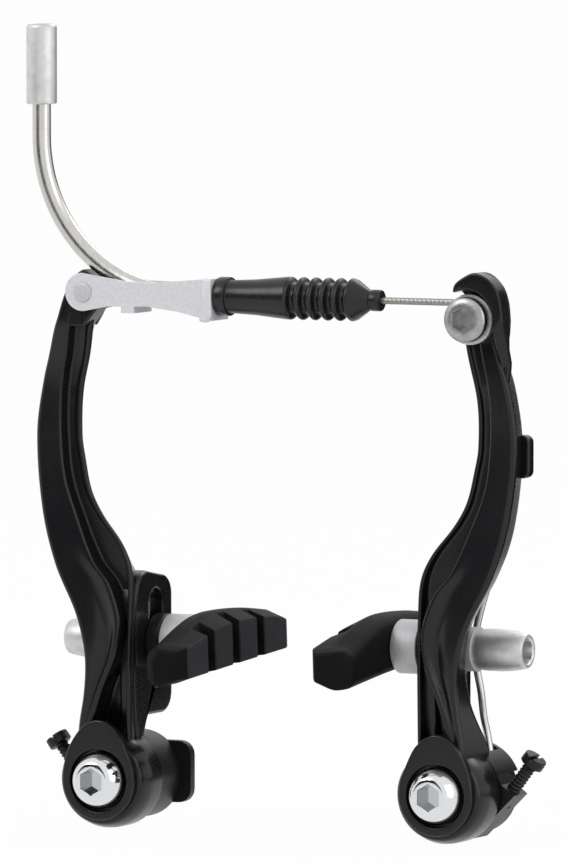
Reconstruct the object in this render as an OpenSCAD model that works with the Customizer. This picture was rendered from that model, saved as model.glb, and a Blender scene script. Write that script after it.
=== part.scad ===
// Linear-pull bicycle brake (v-brake): two forged arms on frame studs, joined by a noodle,
// a carrier link and the inner wire. X is across the wheel, Y runs back to the frame, Z is up.
// The origin lies midway between the two stud axes, on the plane of the studs' shoulders.

/* [Frame studs] */
// Distance between the two stud axes
stud_pitch = 80; // [74:0.5:90]
// Radius of a stud, which the sleeve fits
stud_r = 4; // [3.5:0.05:4.4]
// Length of stud that the rear of the sleeve holds
stud_grip = 10; // [8:0.5:10.5]

/* [Pivot] */
// Depth of the brake from the shoulder plane to the front face of the pivot ring
pivot_depth = 23.5; // [23:0.5:28]
// Outer radius of the pivot sleeve
sleeve_r = 5.5; // [5.3:0.05:5.7]
// Radial running clearance of the arm on its sleeve
sleeve_play = 0.05; // [0.02:0.01:0.09]
// Radius of the boss round the pivot
boss_r = 10.6; // [10:0.1:11.4]
// Length of the boss along the pivot
boss_len = 10.5; // [10:0.1:11.2]
// Radius of the flat ring on the arm's front
ring_r = 8.6; // [8.2:0.1:9.2]
// Radius of the bolt's domed head
dome_r = 6.1; // [5.8:0.1:6.3]
// Height of the domed head above its rim
dome_h = 3.6; // [2.8:0.1:4.4]
// Radius of the bolt's thread
bolt_r = 3; // [2.5:0.05:3.2]
// Length of the bolt's thread below its head
bolt_len = 11; // [8:0.2:11.2]
// Width across the flats of every hexagon socket
socket_af = 5; // [4:0.5:5.5]

/* [Arms] */
// Height of the link pin above the pivot
arm_h = 105; // [98:0.5:112]
// How far the link pin stands outside the pivot
pin_lean = 4; // [3.7:0.1:5]
// How far the arm's head stands outside the pivot
head_lean = 6.5; // [5.5:0.1:7.5]
// Outermost reach of the arm from the pivot, at its bow
bow = 17; // [15:0.25:19]
// Width of the front face at the bow
face_w = 6.2; // [5:0.1:7.5]
// Width of the front face beside the pad slot
hip_w = 10.4; // [9:0.1:11.4]
// Depth of the arm behind its front face, at the bow
web_depth = 8; // [6.5:0.1:9]

/* [Pad slot] */
// Height of the pad post above the pivot
pad_z = 29.4; // [28:0.2:31]
// Distance of the pad post behind the front face of the pivot ring
post_depth = 16; // [15.8:0.1:17]
// Distance of the slotted plate's inner face inside the pivot axis
plate_in = 6.3; // [5.8:0.1:6.6]
// Thickness of the slotted plate
plate_t = 4; // [3:0.1:4.4]
// Height of the slotted plate
plate_h = 30; // [28:0.5:31]
// Half of the slotted plate's width
plate_half_w = 7.6; // [6.6:0.1:8]
// Length of the slot from end to end
slot_len = 21; // [20:0.5:23]
// Radial clearance of the post in the slot
slot_play = 0.4; // [0.3:0.05:0.6]

/* [Brake pads] */
// Length of a pad
pad_len = 52; // [48:1:60]
// Thickness of a pad from friction face to back
pad_t = 10; // [9:0.5:11]
// Height of the friction face at its middle
pad_face_h = 9; // [7:0.1:9.5]
// Height of the pad's humped body at its middle
pad_body_h = 12.4; // [11.8:0.1:14]
// How far the pad's middle lies below its post
pad_drop = 0.6; // [0:0.1:1]
// Number of friction blocks
blocks = 4; // [3:1:5]
// Width of a groove between two blocks
groove_w = 3.4; // [2:0.1:4]
// Depth of a groove
groove_d = 3.2; // [2:0.1:4]
// Nose-up angle of the pads about their posts
pad_pitch = 3.6; // [0:0.2:4]
// Radius of the pad post's thread
post_r = 3; // [2.8:0.05:3.1]

// How much higher the right pad is set in its slot than the left pad
right_pad_lift = 0.8; // [-3:0.2:4]

/* [Pad hardware] */
// Radius of the washers
washer_r = 5.8; // [5.6:0.1:6.1]
// Thickness of the thick cup washer
cup_t = 4.8; // [3.6:0.1:5.2]
// Thickness of the thin cup washer
thin_cup_t = 2.2; // [1.8:0.1:2.8]
// Thickness of the inner domed washer
inner_dome_t = 4.4; // [3.6:0.1:4.8]
// Thickness of the outer domed washer
outer_dome_t = 3; // [2.6:0.1:3.4]
// Radius of the spherical faces of the washers
ball_r = 11; // [9.5:0.5:14]
// Length of a pad nut
nut_len = 11.6; // [10:0.2:14]
// Largest radius of a pad nut
nut_r = 4.5; // [4.4:0.1:4.9]
// Radius of a pad nut at its outer end
nut_end_r = 3.7; // [3.6:0.1:4.2]

/* [Return spring] */
// Radius of the spring wire
wire_r = 0.8; // [0.6:0.05:0.9]
// Mean radius of the spring's coil
coil_r = 6.7; // [6.5:0.05:6.75]
// Outer radius of the spring cover
cover_r = 9.5; // [9.2:0.1:10]
// Outer radius of the cover's guard over the spring leg
guard_r = 10.4; // [10.2:0.1:11]
// Thickness of the rear spring plate
spring_plate_t = 2; // [1.6:0.1:2.4]
// Radius of the pin that enters the frame
anchor_pin_r = 1.25; // [1:0.05:1.4]
// Length of that pin behind the shoulder plane
anchor_pin_len = 3.5; // [2.5:0.25:5]
// Radius of the tension screw
screw_r = 1.5; // [1.3:0.05:1.6]
// Radius of the tension screw's head
screw_head_r = 2.6; // [2.4:0.1:2.9]

/* [Link and noodle] */
// Distance of the wire behind the front face of the pivot ring
wire_depth = 5; // [4.8:0.1:5.4]
// Reach of the link from its pin to its end wall
link_len = 30.8; // [30:0.1:32]
// Thickness of the link's sheet
sheet_t = 1.2; // [1:0.1:1.5]
// Clear width inside the link
link_gap = 6; // [5.6:0.1:6.4]
// Radius of the link pin
link_pin_r = 2.2; // [2:0.05:2.3]
// Outer radius of the noodle tube
noodle_r = 2; // [1.9:0.05:2.1]
// Wall of the noodle tube
noodle_wall = 0.5; // [0.4:0.05:0.55]
// Radius of the noodle's bend
bend_r = 33.5; // [32:0.5:38]
// Radius of the cable ferrule
ferrule_r = 3.3; // [3.1:0.1:3.8]
// Length of the cable ferrule
ferrule_len = 17.2; // [15:0.2:20]
// Radius of the outer housing that the ferrule takes
housing_r = 2.5; // [2:0.05:2.5]
// Depth of the housing socket
housing_depth = 8; // [6:0.5:9]

/* [Boot and wire] */
// Length of the rubber boot
boot_len = 38.4; // [36:0.2:38.6]
// Radius of the boot's bellows
boot_r = 4.6; // [4.2:0.1:5]
// Number of bellows folds
folds = 6; // [4:1:7]
// Radius of the brake wire
cable_r = 0.75; // [0.6:0.05:0.8]

/* [Wire anchor] */
// Radius of the anchor bolt's thread
anchor_r = 2.5; // [2.3:0.05:2.6]
// Radius of the anchor bolt's head
anchor_head_r = 4.8; // [4.5:0.1:5]
// Radius of the anchor washer
anchor_washer_r = 5.4; // [5.2:0.1:5.6]

/* [Hidden] */
$fn = 64;

// Clearance between pieces that only pass each other
gap = 0.3;
// Clearance between pieces that seat on each other
seat = 0.02;
// Overshoot of cutting tools
cut = 1;
// Rotation that turns a Z cylinder to run back along Y
TO_BACK = [-90, 0, 0];

pivot_x = stud_pitch / 2;
pin_x = pivot_x + pin_lean;
head_x = pivot_x + head_lean;

// Pivot stack, as depths behind the front face
flange_d = 0.2;
flange_t = 1;
sleeve_front = flange_d + flange_t;
counterbore_r = dome_r + 0.6;
dome_top_r = 3.3;
cover_front = boss_len + gap;
cover_back = pivot_depth - spring_plate_t;
cover_floor = 1.4;
cover_wall = cover_r - coil_r - wire_r - 0.5;
groove_back = pivot_depth - stud_grip;
groove_len = 0.8;

// Pad stack, as distances across X from the middle of the wheel
plate_x0 = pivot_x - plate_in;
plate_x1 = plate_x0 + plate_t;
pad_back_x = plate_x0 - inner_dome_t - cup_t;
pad_face_x = pad_back_x - pad_t;
nut_x0 = plate_x1 + outer_dome_t + thin_cup_t;
nut_x1 = nut_x0 + nut_len;
washer_bore_r = post_r + 0.3;
insert_r = 5;
insert_t = 2;
insert_deep = 3;

// Link, noodle and boot
fork_front = wire_depth - link_gap / 2 - sheet_t;
fork_back = wire_depth + link_gap / 2 + sheet_t;
tab_t = link_gap - 2 * gap;
wire_z = arm_h - 0.4;
link_end_x = -pin_x + link_len;
bore_r = noodle_r - noodle_wall;
bend_x = -22.3;
bend_z = wire_z + bend_r;
noodle_x = bend_x - bend_r;
ferrule_z = bend_z + 6.9;
ferrule_grip = 5;
noodle_tip_x = link_end_x + 8;
boot_x = link_end_x + 0.05;

// Wire anchor on the right arm
anchor_x = head_x + 0.3;
anchor_z = wire_z - anchor_r - cable_r - 0.1;
clamp_d = wire_depth - cable_r + 0.25;
anchor_washer_t = 1.8;
anchor_head_t = 3;
anchor_boss_r = anchor_washer_r - 0.1;
hook_clear = anchor_washer_r + 0.9;

// Depth behind the front face, as a Y coordinate
function back(d) = d - pivot_depth;

// Index of the knot span that holds z
function span(t, z, i = 0) = (i >= len(t) - 2 || z < t[i + 1][0]) ? i : span(t, z, i + 1);

// Slope of a knot list at knot i
function slope(t, i) = let (a = max(i - 1, 0), b = min(i + 1, len(t) - 1))
  (t[b][1] - t[a][1]) / (t[b][0] - t[a][0]);

// Smooth curve through knots [z, value], by cubic pieces
function curve(t, z) = let (i = span(t, z), h = t[i + 1][0] - t[i][0],
  u = min(max((z - t[i][0]) / h, 0), 1), v = 1 - u)
  (1 + 2 * u) * v * v * t[i][1] + u * v * v * h * slope(t, i)
  + u * u * (3 - 2 * u) * t[i + 1][1] - u * u * v * h * slope(t, i + 1);

// Points of an arc about c
function arc(c, r, a0, a1, n) = [for (k = [0:n]) let (a = a0 + (a1 - a0) * k / n)
  [c[0] + r * cos(a), c[1] + r * sin(a)]];

// Smooth path through listed points, n steps a span
function path(p, n) = [for (i = [0:len(p) - 2], k = [0:n - 1]) let (u = k / n,
  a = p[max(i - 1, 0)], b = p[i], c = p[i + 1], d = p[min(i + 2, len(p) - 1)])
  b + 0.5 * u * (c - a + u * (2 * a - 5 * b + 4 * c - d + u * (3 * (b - c) + d - a))),
  p[len(p) - 1]];

function unit(v) = v / norm(v);

// Faces of a skin over n rings of m points, each ring counter-clockwise seen from the last
function skin(n, m) = concat([[for (j = [0:m - 1]) j]],
  [for (i = [0:n - 2], j = [0:m - 1]) let (a = i * m + j, b = i * m + (j + 1) % m)
    each [[a, a + m, b], [b, a + m, b + m]]],
  [[for (j = [m - 1:-1:0]) (n - 1) * m + j]]);

module loft(rings) {
  polyhedron([for (r = rings, p = r) p], skin(len(rings), len(rings[0])));
}

// Round wire of radius r along a path that never runs along Y
module wire(p, r, sides = 8) {
  n = len(p);
  loft([for (i = [0:n - 1]) let (t = unit(p[min(i + 1, n - 1)] - p[max(i - 1, 0)]),
    s = unit(cross([0, 1, 0], t)), b = cross(t, s))
    [for (k = [0:sides - 1]) p[i] + r * (cos(360 * k / sides) * s + sin(360 * k / sides) * b)]]);
}

// Front outline in X and Z, between two depths behind the front face
module slab(d0, d1) {
  translate([0, back(d1), 0]) rotate([90, 0, 0]) linear_extrude(d1 - d0) children();
}

// Cylinder along Y between two depths, at x and z
module rod_y(x, z, d0, d1, r) {
  translate([x, back(d0), z]) rotate(TO_BACK) cylinder(h = d1 - d0, r = r);
}

// Cylinder along X from x0 to x1, on the pad post's axis
module rod_pad(x0, x1, r) {
  translate([x0, back(post_depth), pad_z]) rotate([0, 90, 0]) cylinder(h = x1 - x0, r = r);
}

// Cylinder along X on the wire's line
module rod_wire(x0, x1, r) {
  translate([x0, back(wire_depth), wire_z]) rotate([0, 90, 0]) cylinder(h = x1 - x0, r = r);
}

// Hexagon socket along Z, its mouth at the origin and its floor below
module socket(deep) {
  translate([0, 0, -deep]) cylinder(h = deep + cut, r = socket_af / 2 / cos(30), $fn = 6);
}

// A piece of the left side is the right one's mirror image
module left() {
  mirror([1, 0, 0]) children();
}

// Arm. Each table gives an edge line of the arm against the height above the pivot.
bow_x = pivot_x + bow;
bow_z = arm_h - 31;
neck_z = arm_h - 10;
hip_z = pad_z + 5;
outer_line = [[6, pivot_x + 6], [12, pivot_x + 5.6], [18, pivot_x + 4.6], [24, pivot_x + 4.2],
  [29, pivot_x + 4.7], [36, pivot_x + 6.8], [46, pivot_x + 11.8], [58, bow_x - 1.6],
  [bow_z, bow_x], [bow_z + 12, bow_x - 1.6], [neck_z, head_x + 6.1], [arm_h - 2, head_x + 3.3]];
ridge_line = [[6, pivot_x + 3.5], [14, pivot_x + 1.6], [20, pivot_x - 0.4],
  [hip_z - 7, pivot_x + 6 - hip_w + 1.0], [hip_z, pivot_x + 6.2 - hip_w],
  [hip_z + 8, pivot_x + 8.9 - hip_w], [47, pivot_x + 2.2], [56, pivot_x + 6.4],
  [bow_z - 9, bow_x - face_w - 1.1], [bow_z, bow_x - face_w], [bow_z + 8, bow_x - face_w],
  [bow_z + 14, bow_x - face_w - 0.6], [neck_z, head_x - 0.9], [arm_h - 2, head_x - 2.9]];
inner_line = [[6, plate_x0 + 0.3], [40, plate_x0 + 0.1], [46, plate_x0 + 0.7], [51, plate_x0 + 3.1],
  [57, pivot_x + 1.6], [62, pivot_x + 4.4], [69, bow_x - face_w - 4.7],
  [bow_z, bow_x - face_w - 3.9], [bow_z + 10, bow_x - face_w - 4.2],
  [neck_z, head_x - 2.6], [arm_h - 2, head_x - 3.9]];
// How much the arm narrows behind its inner edge
taper_line = [[6, 0.6], [42, 0.9], [48, 2.5], [54, 3.6], [64, 3.6], [bow_z, 3.3], [neck_z - 4, 3.3],
  [neck_z + 2, 2.8], [arm_h, 0.8]];
front_line = [[6, 1.6], [14, 1.5], [30, 1.6], [46, 2.4], [60, 3.4], [bow_z, 4], [arm_h - 16, 4]];
rear_line = [[6, 10.2], [10, 10.2], [15, 9.4], [20, 8.6], [40, 8.6], [46, 10.2], [52, 11.6],
  [60, 12], [bow_z, 4 + web_depth], [arm_h - 16, 3.9 + web_depth]];
// The head of the left arm thins to fit the link, and that of the right arm does not
left_front = concat(front_line, [[arm_h - 8, wire_depth - tab_t / 2],
  [arm_h - 2, wire_depth - tab_t / 2]]);
left_rear = concat(rear_line, [[arm_h - 8, 12], [arm_h - 2, 12.2]]);
right_front = concat(front_line, [[arm_h - 8, clamp_d], [arm_h - 2, clamp_d]]);
right_rear = concat(rear_line, [[arm_h - 8, 10.8], [arm_h - 2, 9.5]]);
// Depth of the shaded hollow in the lower front face, and of the side groove
hollow_line = [[6, 0], [14, 0.5], [24, 1.5], [34, 1.2], [44, 0.4], [52, 0], [arm_h, 0]];
groove_line = [[6, 8.6], [14, 8.2], [36, 6.6], [46, 6.4], [60, 6.6], [bow_z, 7],
  [arm_h - 16, 6.6], [arm_h - 8, 4.6], [arm_h, 4.4]];
edge = 0.7;

// One level ring of the arm, counter-clockwise from above
function arm_ring(z, front_t, rear_t) = let (xo = curve(outer_line, z),
  xr = min(curve(ridge_line, z), xo - 2.4), xi = min(curve(inner_line, z), xr - 1.2),
  yf = curve(front_t, z), yr = curve(rear_t, z), lip = min(yf + 2.2, yr - 2.6),
  floor_d = min(max(curve(groove_line, z), lip + 0.6), yr - 1.8), rim = 1.1,
  hollow = curve(hollow_line, z), draft = 0.2 * (yr - yf), xb = xi + curve(taper_line, z))
  [for (p = [[xr, yf + 0.3], [xr + 0.35, yf], [xr + rim, yf],
    [xr + rim + 0.22 * (xo - xr - rim), yf + hollow], [xr + rim + 0.5 * (xo - xr - rim), yf + 0.3 * hollow],
    [xo - edge, yf], [xo, yf + edge], [xo - draft, yr - edge], [xo - draft - edge, yr],
    [xb + edge, yr], [xb, yr - edge], [xi, lip + edge], [xi + 0.4, lip],
    [xi + rim, lip], [min(xi + rim + 0.4, xr - 0.4), floor_d], [xr - 0.3, floor_d]])
    [p[0], back(p[1]), z]];

module arm_shaft(front_t, rear_t, top) {
  step = 2.5;
  loft([for (k = [0:ceil((top - 6.5) / step)]) arm_ring(min(6.5 + k * step, top), front_t, rear_t)]);
}

// Outline of the ring on the arm's front, with its pointed top, moved in by k
function ring_outline(k) = concat(arc([0, 0], ring_r - k, 180, 360, 30),
  path([for (p = [[ring_r, 0], [0.965 * ring_r, 3], [0.87 * ring_r, 6.1], [5.8, 9.2], [3.4, 11.9],
    [0.7, 13], [-1.6, 12.7], [-3.7, 11.3], [-5.3, 9.5], [-0.81 * ring_r, 6.1],
    [-0.955 * ring_r, 3], [-ring_r, 0]]) p * (1 - k / ring_r)], 3));

// Ring, and the boss behind it, which swells from the ring to its full radius
module arm_foot() {
  slab(0.4, 2) translate([pivot_x, 0]) polygon(ring_outline(0));
  slab(0, 0.4) translate([pivot_x, 0]) polygon(ring_outline(0.35));
  translate([pivot_x, back(0), 0]) rotate(TO_BACK) rotate_extrude() polygon([[0, 1.5],
    [ring_r + 0.5, 1.5], [ring_r + 0.9, 1.9], [boss_r - 0.7, 3], [boss_r - 0.15, 4.4], [boss_r, 6],
    [boss_r, boss_len - 0.5], [boss_r - 0.5, boss_len], [0, boss_len]]);
}

module pad_plate() {
  corner = 4.5;
  z0 = pad_z - 1 - plate_h / 2;
  z1 = z0 + plate_h;
  y0 = back(5.4);
  y1 = back(post_depth + plate_half_w);
  translate([plate_x0, 0, 0]) rotate([90, 0, 90]) linear_extrude(plate_t)
    polygon(concat([[y0, z0], [y0, z1 + 2]], arc([y1 - corner, z1 - corner], corner, 90, 0, 6),
      arc([y1 - corner, z0 + corner], corner, 0, -90, 6)));
}

module pad_slot() {
  r = post_r + slot_play;
  for (z = [-1, 1]) translate([0, 0, 0.5 + z * (slot_len / 2 - r)])
    rod_pad(plate_x0 - cut, plate_x1 + cut, r);
  translate([plate_x0 - cut, back(post_depth) - r, pad_z + 0.5 - slot_len / 2 + r])
    cube([plate_t + 2 * cut, 2 * r, slot_len - 2 * r]);
}

// Lug on the arm's outer side, with a post behind it that the long spring leg pushes outwards
lug_z = arm_h - 33;
lug_x = bow_x - 2.2;
lug_post_r = 1.1;
module spring_lug() {
  corner = 1.6;
  w = 2.8;
  half = 4.6;
  slab(9.4, 12.2) polygon(concat([[lug_x - 1, lug_z - half]],
    arc([lug_x + w - corner, lug_z - half + corner], corner, -90, 0, 4),
    arc([lug_x + w - corner, lug_z + half - corner], corner, 0, 90, 4), [[lug_x - 1, lug_z + half]]));
  rod_y(lug_x - 0.6, lug_z, 9.4, 15, lug_post_r);
}

module arm_bores() {
  rod_y(pivot_x, 0, -cut, sleeve_front + 0.25, counterbore_r);
  rod_y(pivot_x, 0, 0, boss_len + cut, sleeve_r + sleeve_play);
  pad_slot();
}

// The left arm's head has a tab inside the link and an ear behind it
tab_r = 4.9;
ear_d = fork_back + 1.2;
module left_arm() {
  noodle_room = noodle_r + 0.6;
  color("#202224") left() difference() {
    union() {
      difference() {
        arm_shaft(left_front, left_rear, arm_h - 2);
        translate([pin_x - 12, back(-1), arm_h - link_eye_r - 0.6])
          cube([24, 1 + fork_front + sheet_t + gap, 12]);
        translate([pin_x - 12, back(wire_depth + tab_t / 2), arm_h - link_eye_r - 0.6])
          cube([24, ear_d - wire_depth - tab_t / 2, 12]);
      }
      arm_foot();
      pad_plate();
      spring_lug();
      rod_y(pin_x, arm_h, wire_depth - tab_t / 2, wire_depth + tab_t / 2, tab_r);
      rod_y(pin_x, arm_h, ear_d, 12.2, tab_r);
    }
    arm_bores();
    rod_y(pin_x, arm_h, -cut, ear_d - gap, link_pin_r + 0.06);
    rod_y(-bend_x, bend_z, -cut, ear_d - gap, bend_r + noodle_room);
  }
}

// Hooked guard over the wire anchor
hook_d = 5.4;
hook_outer = path([[head_x + 5.6, neck_z - 1], [head_x + 8.3, neck_z + 1], [head_x + 8.9, neck_z + 5],
  [head_x + 8.8, arm_h - 0.3], [head_x + 8.2, arm_h + 1.9], [head_x + 6.9, arm_h + 4],
  [head_x + 4.7, arm_h + 5.6], [head_x + 2.2, arm_h + 6.2], [head_x, arm_h + 5.4],
  [head_x - 1.9, arm_h + 4.1], [head_x - 2.6, arm_h + 2.2]], 4);

module hook_outline() {
  polygon(concat(hook_outer, [[head_x - 2.4, wire_z + cable_r + 0.9], [anchor_x, anchor_z]]));
}

module right_arm() {
  color("#202224") difference() {
    union() {
      arm_shaft(right_front, right_rear, arm_h - 4);
      arm_foot();
      pad_plate();
      spring_lug();
      rod_y(anchor_x, anchor_z, clamp_d, 10.5, anchor_boss_r);
      slab(0.4, hook_d) hook_outline();
    }
    arm_bores();
    rod_y(anchor_x, anchor_z, -cut, clamp_d, hook_clear);
    rod_y(anchor_x, anchor_z, 0, 12, anchor_r + 0.1);
    translate([anchor_x - 12, back(0), wire_z - cable_r - 0.3])
      cube([12 + 4.4, wire_depth + cable_r + 0.3, 2 * cable_r + 0.6]);
  }
}

// Sleeve that the arm turns on. Its grease groove parts the stud's seat from the bolt's room.
module pivot_sleeve() {
  color("#b9bcc0") difference() {
    rod_y(pivot_x, 0, sleeve_front, pivot_depth, sleeve_r);
    rod_y(pivot_x, 0, 0, pivot_depth + cut, stud_r);
    rod_y(pivot_x, 0, groove_back - groove_len, groove_back, stud_r + 0.5);
  }
}

// Domed bolt: a slice of a sphere on a thin flange
module pivot_bolt() {
  lift = (dome_r * dome_r - dome_top_r * dome_top_r - dome_h * dome_h) / (2 * dome_h);
  ball = sqrt(dome_r * dome_r + lift * lift);
  color("#d7d9dc") translate([pivot_x, back(flange_d), 0]) rotate([90, 0, 0]) difference() {
    union() {
      translate([0, 0, -flange_t]) cylinder(h = flange_t, r = dome_r);
      intersection() {
        translate([0, 0, -lift]) sphere(ball);
        cylinder(h = dome_h, r = dome_r + cut);
      }
      translate([0, 0, -flange_t - bolt_len]) cylinder(h = bolt_len, r = bolt_r);
    }
    translate([0, 0, dome_h]) socket(3);
  }
}

// Tension screw: a point on its axis and its direction, measured from the pivot
screw_d = cover_back - 7.3;
screw_seat = [13.4, 2.8];
screw_dir = [0.603, 0.798];
screw_turn = atan2(screw_dir[0], screw_dir[1]);

// Turns a Z piece onto the screw's axis, with z = 0 where the screw enters the cover
module on_screw() {
  translate([pivot_x + screw_seat[0], back(screw_d), screw_seat[1]]) rotate([0, screw_turn, 0]) children();
}

screw_tip = -5.2;
screw_point_r = 0.85;
module tension_screw() {
  head_z = 4.2;
  head_t = 2.2;
  color("#26211f") on_screw() difference() {
    union() {
      translate([0, 0, screw_tip]) cylinder(h = 2, r = screw_point_r);
      translate([0, 0, screw_tip + 1.5]) cylinder(h = head_z - screw_tip - 1.5, r = screw_r);
      translate([0, 0, head_z]) cylinder(h = head_t, r = screw_head_r);
    }
    translate([-screw_head_r, -0.4, head_z + head_t - 0.9]) cube([2 * screw_head_r, 0.8, cut + 0.9]);
  }
}

// Spring: short leg under the screw's tip, coil round the sleeve, long leg up behind the arm
short_leg_a = -14.5;
coil_a1 = 14.6;
coil_turns = 2;
coil_pitch = 1.72;
coil_steps = 18;
coil_sweep = coil_turns * 360 + coil_a1 - short_leg_a;
coil_end_d = screw_d + coil_pitch * coil_sweep / 360;
clear_d = post_depth + washer_r + wire_r + 0.4;
leg_x = lug_x - 0.6 - lug_post_r - wire_r - 0.1;
leg_x0 = plate_t - plate_in + wire_r + 0.4;
leg_knots = [[5, coil_end_d + 0.2, 6.5], [1.9, coil_end_d + 0.6, 11.5], [leg_x0, clear_d - 3.4, 15.5],
  [leg_x0, clear_d, 20.5], [leg_x0, clear_d, 33], [1.8, clear_d - 1.2, 42], [6.4, 19.4, 51],
  [10.6, 15.6, 60], [leg_x - pivot_x, 13.8, lug_z - 5],
  [leg_x - pivot_x, 13.8, lug_z + 4]];

function from_pivot(p) = [pivot_x + p[0], back(p[1]), p[2]];

spring_route = concat(
  [for (r = [coil_r + 3.6, coil_r + 1.2]) from_pivot([r * cos(short_leg_a), screw_d, r * sin(short_leg_a)])],
  [for (k = [0:coil_steps * coil_turns + 1]) let (u = k / (coil_steps * coil_turns + 1),
    a = short_leg_a + coil_sweep * u)
    from_pivot([coil_r * cos(a), screw_d + coil_pitch * coil_sweep * u / 360, coil_r * sin(a)])],
  [for (p = path(leg_knots, 3)) from_pivot(p)]);

module spring() {
  color("#c9cccf") wire(spring_route, wire_r);
}

// Cover that holds the coil and the tension screw
module cover_outline() {
  circle(cover_r);
  polygon(concat([[0, 0]], arc([0, 0], guard_r, 24, 78, 12)));
}

// Wedge at the cover's front, which carries the screw
wedge_d = screw_d + 3.4;
module wedge_outline() {
  corner = screw_seat + [0.2, -3.1];
  polygon([[0, 0], [4.2, -cover_r - 0.2], corner, corner + 3.8 * [-screw_dir[1], screw_dir[0]], [9, 5]]);
}

module spring_cover() {
  color("#1c1c1d") difference() {
    union() {
      slab(cover_front, cover_back) translate([pivot_x, 0]) cover_outline();
      slab(cover_front, wedge_d) translate([pivot_x, 0]) wedge_outline();
    }
    rod_y(pivot_x, 0, 0, cover_back - cover_floor, cover_r - cover_wall);
    rod_y(pivot_x, 0, 0, pivot_depth, sleeve_r + seat);
    on_screw() translate([0, 0, -6.6]) cylinder(h = 8.6, r = screw_r + 0.05);
    slab(cover_front - cut, cover_back - cover_floor) translate([pivot_x, 0])
      polygon([[3.6, 3.2], [7.9, 3.2], [4.2, 12.5], [0.4, 12.5]]);
    translate([pivot_x, back(screw_d), 0]) rotate([0, -short_leg_a, 0]) rotate([0, 90, 0])
      cylinder(h = coil_r + 3.8, r = wire_r + 0.2);
  }
}

// Rear plate with the pin that enters the frame
lug_reach = 11.7;
plate_pin = [-8.5, 0.5];
module spring_plate() {
  half = 6.7;
  corner = 3;
  c = plate_pin[1];
  color("#1a1a1b") difference() {
    union() {
      rod_y(pivot_x, 0, cover_back, pivot_depth, cover_r - 1.2);
      slab(cover_back, pivot_depth) translate([pivot_x, 0]) polygon(concat([[0, c - half]],
        [[0, c + half]], arc([corner - lug_reach, c + half - corner], corner, 90, 180, 5),
        arc([corner - lug_reach, c - half + corner], corner, 180, 270, 5)));
      rod_y(pivot_x + plate_pin[0], plate_pin[1], pivot_depth, pivot_depth + anchor_pin_len, anchor_pin_r);
    }
    rod_y(pivot_x, 0, 0, pivot_depth + cut, sleeve_r + seat);
  }
}

// Pad: rings from its near end to its far end. Each table gives a height against the place
// along the pad, from -1 to 1, as a share of the height at the middle.
pad_top = [[-1, 0.5], [-0.92, 0.64], [-0.77, 0.84], [-0.38, 0.99], [0, 1], [0.46, 0.86], [0.92, 0.6],
  [1, 0.54]];
pad_low = [[-1, 1.2], [-0.62, 1.1], [-0.15, 1], [0.31, 0.97], [1, 1.02]];
face_top = [[-1, 0.5], [-0.88, 0.63], [-0.5, 0.82], [-0.21, 1], [0.26, 0.96], [0.77, 0.7], [1, 0.42]];
function pad_ring(u) = let (y = pad_len / 2 * u, tip = max(0, (abs(u) - 0.88) / 0.12),
  fh = 0.57 * pad_face_h * curve(face_top, u), fl = -0.43 * pad_face_h,
  up = max(0.617 * pad_body_h * curve(pad_top, u), fh + 0.5), down = -0.383 * pad_body_h * curve(pad_low, u),
  x0 = pad_face_x + 0.7 * tip * tip, x1 = pad_back_x - 2.6 * tip * tip)
  [for (p = [[x0, fh], [x0, fl], [x0 + 3.8, down + 0.3], [x1 - 1.4, down], [x1, down + 1.4],
    [x1, up - 2.2], [x1 - 2, up - 0.4], [x0 + 5, up]])
    [p[0], back(post_depth) + y, pad_z - pad_drop + p[1]]];

module pitched() {
  translate([0, back(post_depth), pad_z]) rotate([pad_pitch, 0, 0])
    translate([0, -back(post_depth), -pad_z]) children();
}

module pad() {
  n = 24;
  span_w = pad_len * 0.92;
  color("#2b2b30") difference() {
    pitched() difference() {
      loft([for (k = [0:n]) pad_ring(2 * k / n - 1)]);
      for (k = [1:blocks - 1]) translate([pad_face_x - cut,
        back(post_depth) + span_w * (k / blocks - 0.5) - groove_w / 2, pad_z - pad_body_h])
        cube([groove_d + cut, groove_w, 2 * pad_body_h]);
    }
    rod_pad(pad_back_x - insert_deep - insert_t, pad_back_x - insert_deep, insert_r);
    rod_pad(pad_back_x - insert_deep - cut / 2, pad_back_x + cut, post_r);
  }
}

// Post moulded into the pad by its round foot
module pad_post() {
  color("#aeb1b5") {
    rod_pad(pad_back_x - insert_deep - insert_t, pad_back_x - insert_deep, insert_r);
    rod_pad(pad_back_x - insert_deep, nut_x1 - 5.5, post_r);
  }
}

// Cup washer: flat towards out, hollow towards in
module cup(t) {
  deep = ball_r - sqrt(ball_r * ball_r - washer_r * washer_r);
  difference() {
    cylinder(h = t, r = washer_r);
    translate([0, 0, t - deep + ball_r + 0.35]) sphere(ball_r);
    translate([0, 0, -cut]) cylinder(h = t + 2 * cut, r = washer_bore_r);
  }
}

// Domed washer: flat underneath, domed on top
module dome(t) {
  difference() {
    intersection() {
      cylinder(h = t, r = washer_r);
      translate([0, 0, t - ball_r]) sphere(ball_r);
    }
    translate([0, 0, -cut]) cylinder(h = t + 2 * cut, r = washer_bore_r);
  }
}

// The right pad stands a little higher in its slot than the left one
module right_stack() {
  translate([0, 0, right_pad_lift]) children();
}

module at_post(x, turn) {
  translate([x, back(post_depth), pad_z]) rotate([0, turn, 0]) children();
}

washer_sag = ball_r - sqrt(ball_r * ball_r - washer_r * washer_r);

module cup_washer() {
  color("#d4d2d3") at_post(pad_back_x, 90) cup(cup_t + washer_sag - 0.35 - 0.05);
}

module inner_dome() {
  color("#242424") at_post(plate_x0, -90) dome(inner_dome_t);
}

module outer_dome() {
  color("#242424") at_post(plate_x1, 90) dome(outer_dome_t);
}

module thin_cup() {
  color("#c4c6c8") at_post(nut_x0, -90) cup(thin_cup_t + washer_sag - 0.35 - 0.05);
}

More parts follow.
